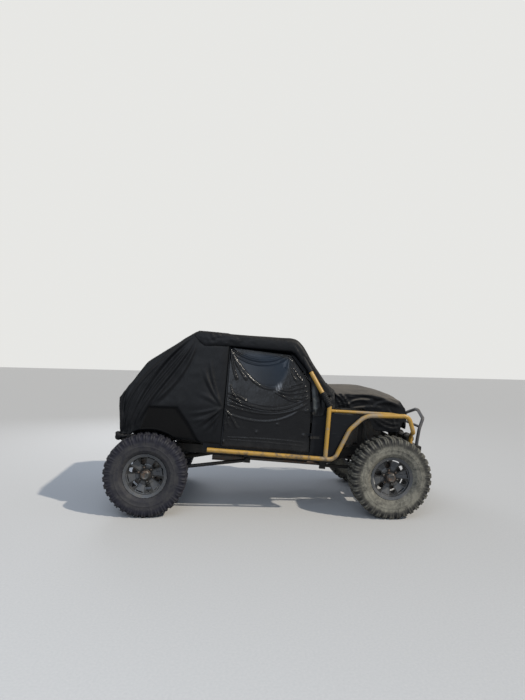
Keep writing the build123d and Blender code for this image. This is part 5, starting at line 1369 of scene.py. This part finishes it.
def cushion(name, corner, along_u, along_y, along_w, paint, swell):
    """A padded block on three edge vectors: every face swells by s(1-a^4)(1-b^4), with channels across its top."""
    count = 22
    a, b = np.meshgrid(np.linspace(-1, 1, count), np.linspace(-1, 1, count), indexing="ij")
    bow = (1 - a ** 4) * (1 - b ** 4)
    groove = 1 - 0.55 * np.exp(-((np.abs(a) - 0.42) / 0.06) ** 2) * (1 - b ** 6)
    rim = 1 - 0.05 * np.maximum(np.abs(a), np.abs(b))[..., None] ** 8
    vectors = np.array([along_u, along_y, along_w], float)
    middle = np.array(corner, float) + vectors.sum(0) / 2
    points, faces = [], []
    for axis in range(3):
        for sign in (-1, 1):
            flat = np.full((count, count, 3), float(sign))
            flat[..., (axis + 1) % 3], flat[..., (axis + 2) % 3] = a, b
            lift = bow * (groove if axis == 2 and sign > 0 else 1)
            out = sign * vectors[axis] / np.linalg.norm(vectors[axis])
            points.append((middle + (flat * rim) @ (vectors / 2) + lift[..., None] * swell * out).reshape(-1, 3))
            quads = grid_faces(count, count, start=len(faces) * count * count)
            faces.append(quads if sign > 0 else quads[:, ::-1])
    piece = make_piece(name, to_world(*np.concatenate(points).T), np.concatenate(faces), paint)
    mesh = bmesh.new()
    mesh.from_mesh(piece.data)
    bmesh.ops.remove_doubles(mesh, verts=mesh.verts, dist=0.0006)
    bmesh.ops.recalc_face_normals(mesh, faces=mesh.faces)
    mesh.to_mesh(piece.data)
    mesh.free()
    soft = piece.modifiers.new("soft", "SUBSURF")
    soft.levels = soft.render_levels = 1
    return piece


def seat_cloth():
    """Grey-black woven seat cloth, paler in cloudy patches."""
    p = Paint("seat_weave")
    cloud = p.noise(8.0, 5.0)
    thread = p.noise(420.0, 2.0, 0.6, at=p.place((1, 1, 0.4)))
    colour = p.mix(cloud, (0.022, 0.022, 0.025), (0.055, 0.053, 0.052))
    return p.surface(Base_Color=colour, Roughness=0.82 + thread * 0.12, Normal=p.bump(thread, 0.6, 0.0006))


SEAT_CLOTH = seat_cloth()
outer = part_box("seats")[1][1] - 0.018
inner = outer - 0.364
SEAT_PARTS = {  # lower corner, then the three edge vectors without their widths, and the swell
    "cushion": ((SEAT_U - 0.005, SEAT_FLOOR + 0.018), (0.490, 0, 0), (0, 0, 0.265), 0.018),
    "back": ((SEAT_U + 0.080, SEAT_FLOOR + 0.305), (-0.090, 0, 0.0), (-0.150, 0, 0.520), 0.014),
}
for name, hand in HANDS.items():
    y0, y1 = sorted((hand * inner, hand * outer))
    for part, ((u, w), along_u, along_w, swell) in SEAT_PARTS.items():
        piece = cushion(f"seat_{part}_{name}", (u, y0, w), along_u, (0, y1 - y0, 0), along_w, SEAT_CLOTH, swell)
        finish_piece(piece, "chassis", "seat_cloth", "seats")
print("seat cushions:", len(HANDS) * len(SEAT_PARTS))

# %% [markdown]
# A mud tyre is one ring, so it is one grid: a cross-section carried round the axle. The blocks are not
# added one by one. A height over the carcass, given by a place along the section and a place within one
# block's pitch, lifts them from the grid, and the grid's own lines stand at the blocks' edges and slits,
# which keeps their walls steep. Every second block reaches further down the sidewall.

# %% Tyres: section and blocks
LUG_COUNT = 34
BEAD_RADIUS, TREAD_RADIUS = 0.203, TYRE_RADIUS - 0.015
SECTION = np.array([  # radius and distance from the wheel's middle, from the bead to the tread's middle
    (BEAD_RADIUS, 0.0990), (0.2140, 0.1045), (0.2245, 0.1075), (0.2300, 0.1150), (0.2400, 0.1250), (0.2540, 0.1345),
    (0.2600, 0.1395), (0.2660, 0.1400), (0.2720, 0.1405), (0.2850, 0.1435), (0.3000, 0.1455), (0.3030, 0.1475),
    (0.3060, 0.1457), (0.3180, 0.1468), (0.3300, 0.1472), (0.3400, 0.1472), (0.3480, 0.1470), (0.3530, 0.1468),
    (0.3570, 0.1465), (0.3640, 0.1460), (0.3730, 0.1440), (0.3820, 0.1405), (0.3890, 0.1360), (0.3950, 0.1310),
    (0.4000, 0.1250), (0.4040, 0.1190), (TREAD_RADIUS, 0.1150), (TREAD_RADIUS, 0.1000), (TREAD_RADIUS, 0.0920),
    (TREAD_RADIUS, 0.0880), (TREAD_RADIUS, 0.0800), (TREAD_RADIUS, 0.0640), (TREAD_RADIUS, 0.0600),
    (TREAD_RADIUS, 0.0450), (TREAD_RADIUS, 0.0410), (TREAD_RADIUS, 0.0200), (TREAD_RADIUS, 0.0030),
    (TREAD_RADIUS, 0.0),
])
# places within one block's pitch, and how much of the block's height stands there
PITCH_AT = np.array([
    -0.5, -0.39, -0.315, -0.278, -0.255, -0.14, -0.045, -0.028, 0.0, 0.028, 0.045, 0.14, 0.255, 0.278, 0.315, 0.39,
])
PITCH_UP = np.array([0, 0, 0, 0.92, 1, 1, 1, 0.45, 0.42, 0.45, 1, 1, 1, 0.92, 0, 0])


def block_height(radius, away, long_one):
    """Height of a block over the carcass: full on the tread, none in the groove, fading down the sidewall."""
    on_tread = 0.015 * (1 - ease(away, 0.041, 0.045) * (1 - ease(away, 0.060, 0.064)))
    on_tread = on_tread * (1 - 0.30 * ease(away, 0.080, 0.088) * (1 - ease(away, 0.092, 0.100)))
    low = np.where(long_one, 0.331, 0.352)
    down = ease(radius, low, low + 0.010)
    on_side = 0.0035 + 0.0095 * ease(radius, 0.362, 0.396)
    return np.where(radius >= TREAD_RADIUS - 1e-6, on_tread, on_side * down)


def tyre_grid(seed):
    """Closed ring: rows round the axle, columns from bead to bead over the tread and back along the bead seat."""
    inner = np.stack([np.full(5, BEAD_RADIUS - 0.0004), np.linspace(-0.080, 0.080, 5)], -1)
    section = np.concatenate([SECTION, SECTION[-2::-1] * (1, -1), inner])
    radius, away = section[:, 0], np.abs(section[:, 1])
    out = np.gradient(section, axis=0)
    normal = np.stack([out[:, 1], -out[:, 0]], -1)
    normal /= np.linalg.norm(normal, axis=1, keepdims=True)
    normal *= np.sign((normal * (section - (0.30, 0.0))).sum(1))[:, None]
    normal[radius >= TREAD_RADIUS - 1e-6] = (1, 0)
    lug, step = np.meshgrid(np.arange(LUG_COUNT), np.arange(len(PITCH_AT)), indexing="ij")
    lug, step = lug.ravel(), step.ravel()
    long_one = (lug % 2 == 0)[:, None]
    # the blocks lean: a zigzag in the middle, and shoulders that trail a little
    lean = 0.16 * np.clip(section[:, 1] / 0.041, -1, 1) * (1 - ease(away, 0.045, 0.075))
    turn = (lug[:, None] + PITCH_AT[step][:, None] + lean[None]) * 2 * np.pi / LUG_COUNT
    tall = block_height(radius[None], away[None], long_one) * PITCH_UP[step][:, None]
    tall[:, -len(inner):] = 0.0
    wear = 1 - 0.10 * hashed(lug * 3.0, seed)[:, None]
    tall = tall * np.where(radius[None] < TREAD_RADIUS - 1e-6, wear, 1)
    place = section[None] + normal[None] * tall[..., None]
    dust = (0.25 + 0.75 * (1 - ease(radius[None], 0.345, 0.385))) * (1 - 0.65 * ease(radius[None], 0.330, 0.352))
    dust = dust + 0.55 * ease(tall, 0.002, 0.010)
    return place, turn, np.broadcast_to(dust, tall.shape)


print("tyre section points:", 2 * len(SECTION) + 4, "steps round:", LUG_COUNT * len(PITCH_AT))

# %% [markdown]
# Rubber is black only in its grooves, where no dust reaches. The mask for that comes from the grid itself:
# each point knows how high it stands on a block, which a noise texture couldn't know.


# %% Tyres: rubber and rings
def tyre_rubber(name, dust, blue):
    """Rubber that dries grey: dust on the sidewall and the blocks' tops, black in the grooves, fine ribs."""
    p = Paint(name)
    cloud = p.noise(11.0, 7.0, 0.65)
    fine = p.noise(150.0, 4.0, 0.7)
    smear = p.noise(30.0, 5.0, 0.7, distortion=0.8)
    soiled = cloud.step(0.25, 0.68) * 0.6 + smear.step(0.35, 0.75) * 0.45 + fine * 0.15
    dusty = (p.mask("dusted") * soiled * dust).clamped()
    colour = p.mix(dusty, (0.0055, 0.0060, 0.0070 * blue), (0.20, 0.19, 0.155))
    normal = p.bump(cloud * 0.2 + smear * 0.3 + fine * 0.5, 0.6, 0.0018)
    return p.surface(Base_Color=colour, Roughness=0.68 + dusty * 0.25, Normal=normal, Specular_IOR_Level=0.30)


# the rear tyres' rubber is a shaded copy of the front's: darker, bluer and with little dust, painted shade as if the
# rear stood in shadow
TYRE_PAINT = {"front": tyre_rubber("rubber_dusty", 1.15, 1.1), "rear": tyre_rubber("rubber_painted_shade", 0.18, 1.95)}


def make_tyre(corner, seed):
    """The ring set on its wheel's middle: X and Z by the turn about the axle, Y outwards on its own side."""
    middle, hand = centre(f"tyre_{corner}"), HANDS[corner.split("_")[1]]
    place, turn, dust = tyre_grid(seed)
    radius, away = place[..., 0], place[..., 1]
    points = middle + np.stack([radius * np.sin(turn), hand * away, radius * np.cos(turn)], -1)
    faces = grid_faces(*points.shape[:2], wrap_n=True, wrap_m=True)
    points = points.reshape(-1, 3)
    faces = faced(points, faces, (points - middle) * (0, 1, 0))
    paint = TYRE_PAINT[corner.split("_")[0]]
    tyre = make_piece(f"tyre_tread_{corner}", points, faces, paint, masks={"dusted": dust})
    finish_piece(tyre, f"wheel_{corner}", "tyre", f"tyre_{corner}")
    return len(faces)


for seed, corner in enumerate(CORNERS):
    count = make_tyre(corner, seed + 1)
print("faces a tyre:", count, "corners:", CORNERS)

# %% [markdown]
# The middle of each wheel has six nuts and a cap with finger notches, the dial of a locking hub. A nut is a
# six-sided section carried up a short profile, and the cap is a turned profile whose radius dips at each
# notch. Both are functions of an angle and a place along the profile, and one mesh holds them all. Screw
# and spin modifiers would give the cap too, but not its notches.

# %% Wheel nuts and hub caps
NUT_COUNT, NUT_RING, NUT_FACE = 6, 0.0745, 0.0415
CAP_PROFILE = np.array([  # radius and height over the wheel's middle
    (0.0530, 0.0440), (0.0560, 0.0470), (0.0560, 0.0560), (0.0500, 0.0600), (0.0490, 0.0900), (0.0470, 0.0940),
    (0.0400, 0.0950), (0.0390, 0.1040), (0.0375, 0.1065), (0.0300, 0.1070), (0.0280, 0.1050), (0.0100, 0.1050),
    (0.0006, 0.1056),
])
NUT_PROFILE = np.array([  # radius and height over the spokes' seat
    (0.0125, 0.0), (0.0125, 0.002), (0.0108, 0.0024), (0.0108, 0.0150), (0.0095, 0.0175), (0.0040, 0.0200),
    (0.0003, 0.0205),
])


def turned_form(profile, sides, ripple):
    """Rings of a profile of radius and height about an axis. Ripple gives the radius' share at each angle."""
    angle = np.arange(sides) * 2 * np.pi / sides
    radius = profile[:, :1] * ripple(angle)
    points = np.stack(np.broadcast_arrays(radius * np.sin(angle), radius * np.cos(angle), profile[:, 1:]), -1)
    return points.reshape(-1, 3), grid_faces(len(profile), sides, wrap_m=True)


def hexagon(angle):
    """A six-sided section: the distance to the flat, 1 at a corner."""
    return np.cos(np.pi / 6) / np.cos((angle + np.pi / 6) % (np.pi / 3) - np.pi / 6)


def notched(angle):
    """Round, with eight shallow finger notches."""
    return 1 - 0.055 * np.exp(4 * (np.cos(8 * angle) - 1))


cap_points, cap_faces = turned_form(CAP_PROFILE, 96, notched)
nut_points, nut_faces = turned_form(NUT_PROFILE, 24, hexagon)
nut_turn = np.radians(42 + 60 * np.arange(NUT_COUNT))
nut_at = np.stack([NUT_RING * np.cos(nut_turn), NUT_RING * np.sin(nut_turn), np.full(NUT_COUNT, NUT_FACE)], -1)
nuts = (nut_points[None] + nut_at[:, None]).reshape(-1, 3)
nut_quads = (nut_faces[None] + len(nut_points) * np.arange(NUT_COUNT)[:, None, None]).reshape(-1, 4)
local = np.concatenate([cap_points, nuts])
local_faces = np.concatenate([cap_faces, nut_quads + len(cap_points)])
HUB_PAINT = bare_steel("hub_brown", 0.085, 1.1)
for corner in CORNERS:
    middle, hand = centre(f"tyre_{corner}"), HANDS[corner.split("_")[1]]
    points = middle + np.stack([local[:, 0], hand * local[:, 2], local[:, 1] * -hand], -1)
    cap = make_piece(f"hub_cap_{corner}", points, faced(points, local_faces, (0, hand, 0)), HUB_PAINT)
    finish_piece(cap, f"wheel_{corner}", "hub_steel")
print("hub cap faces:", len(local_faces))

# %% [markdown]
# The cloth should lie on the rigid vehicle and not make it a larger one.
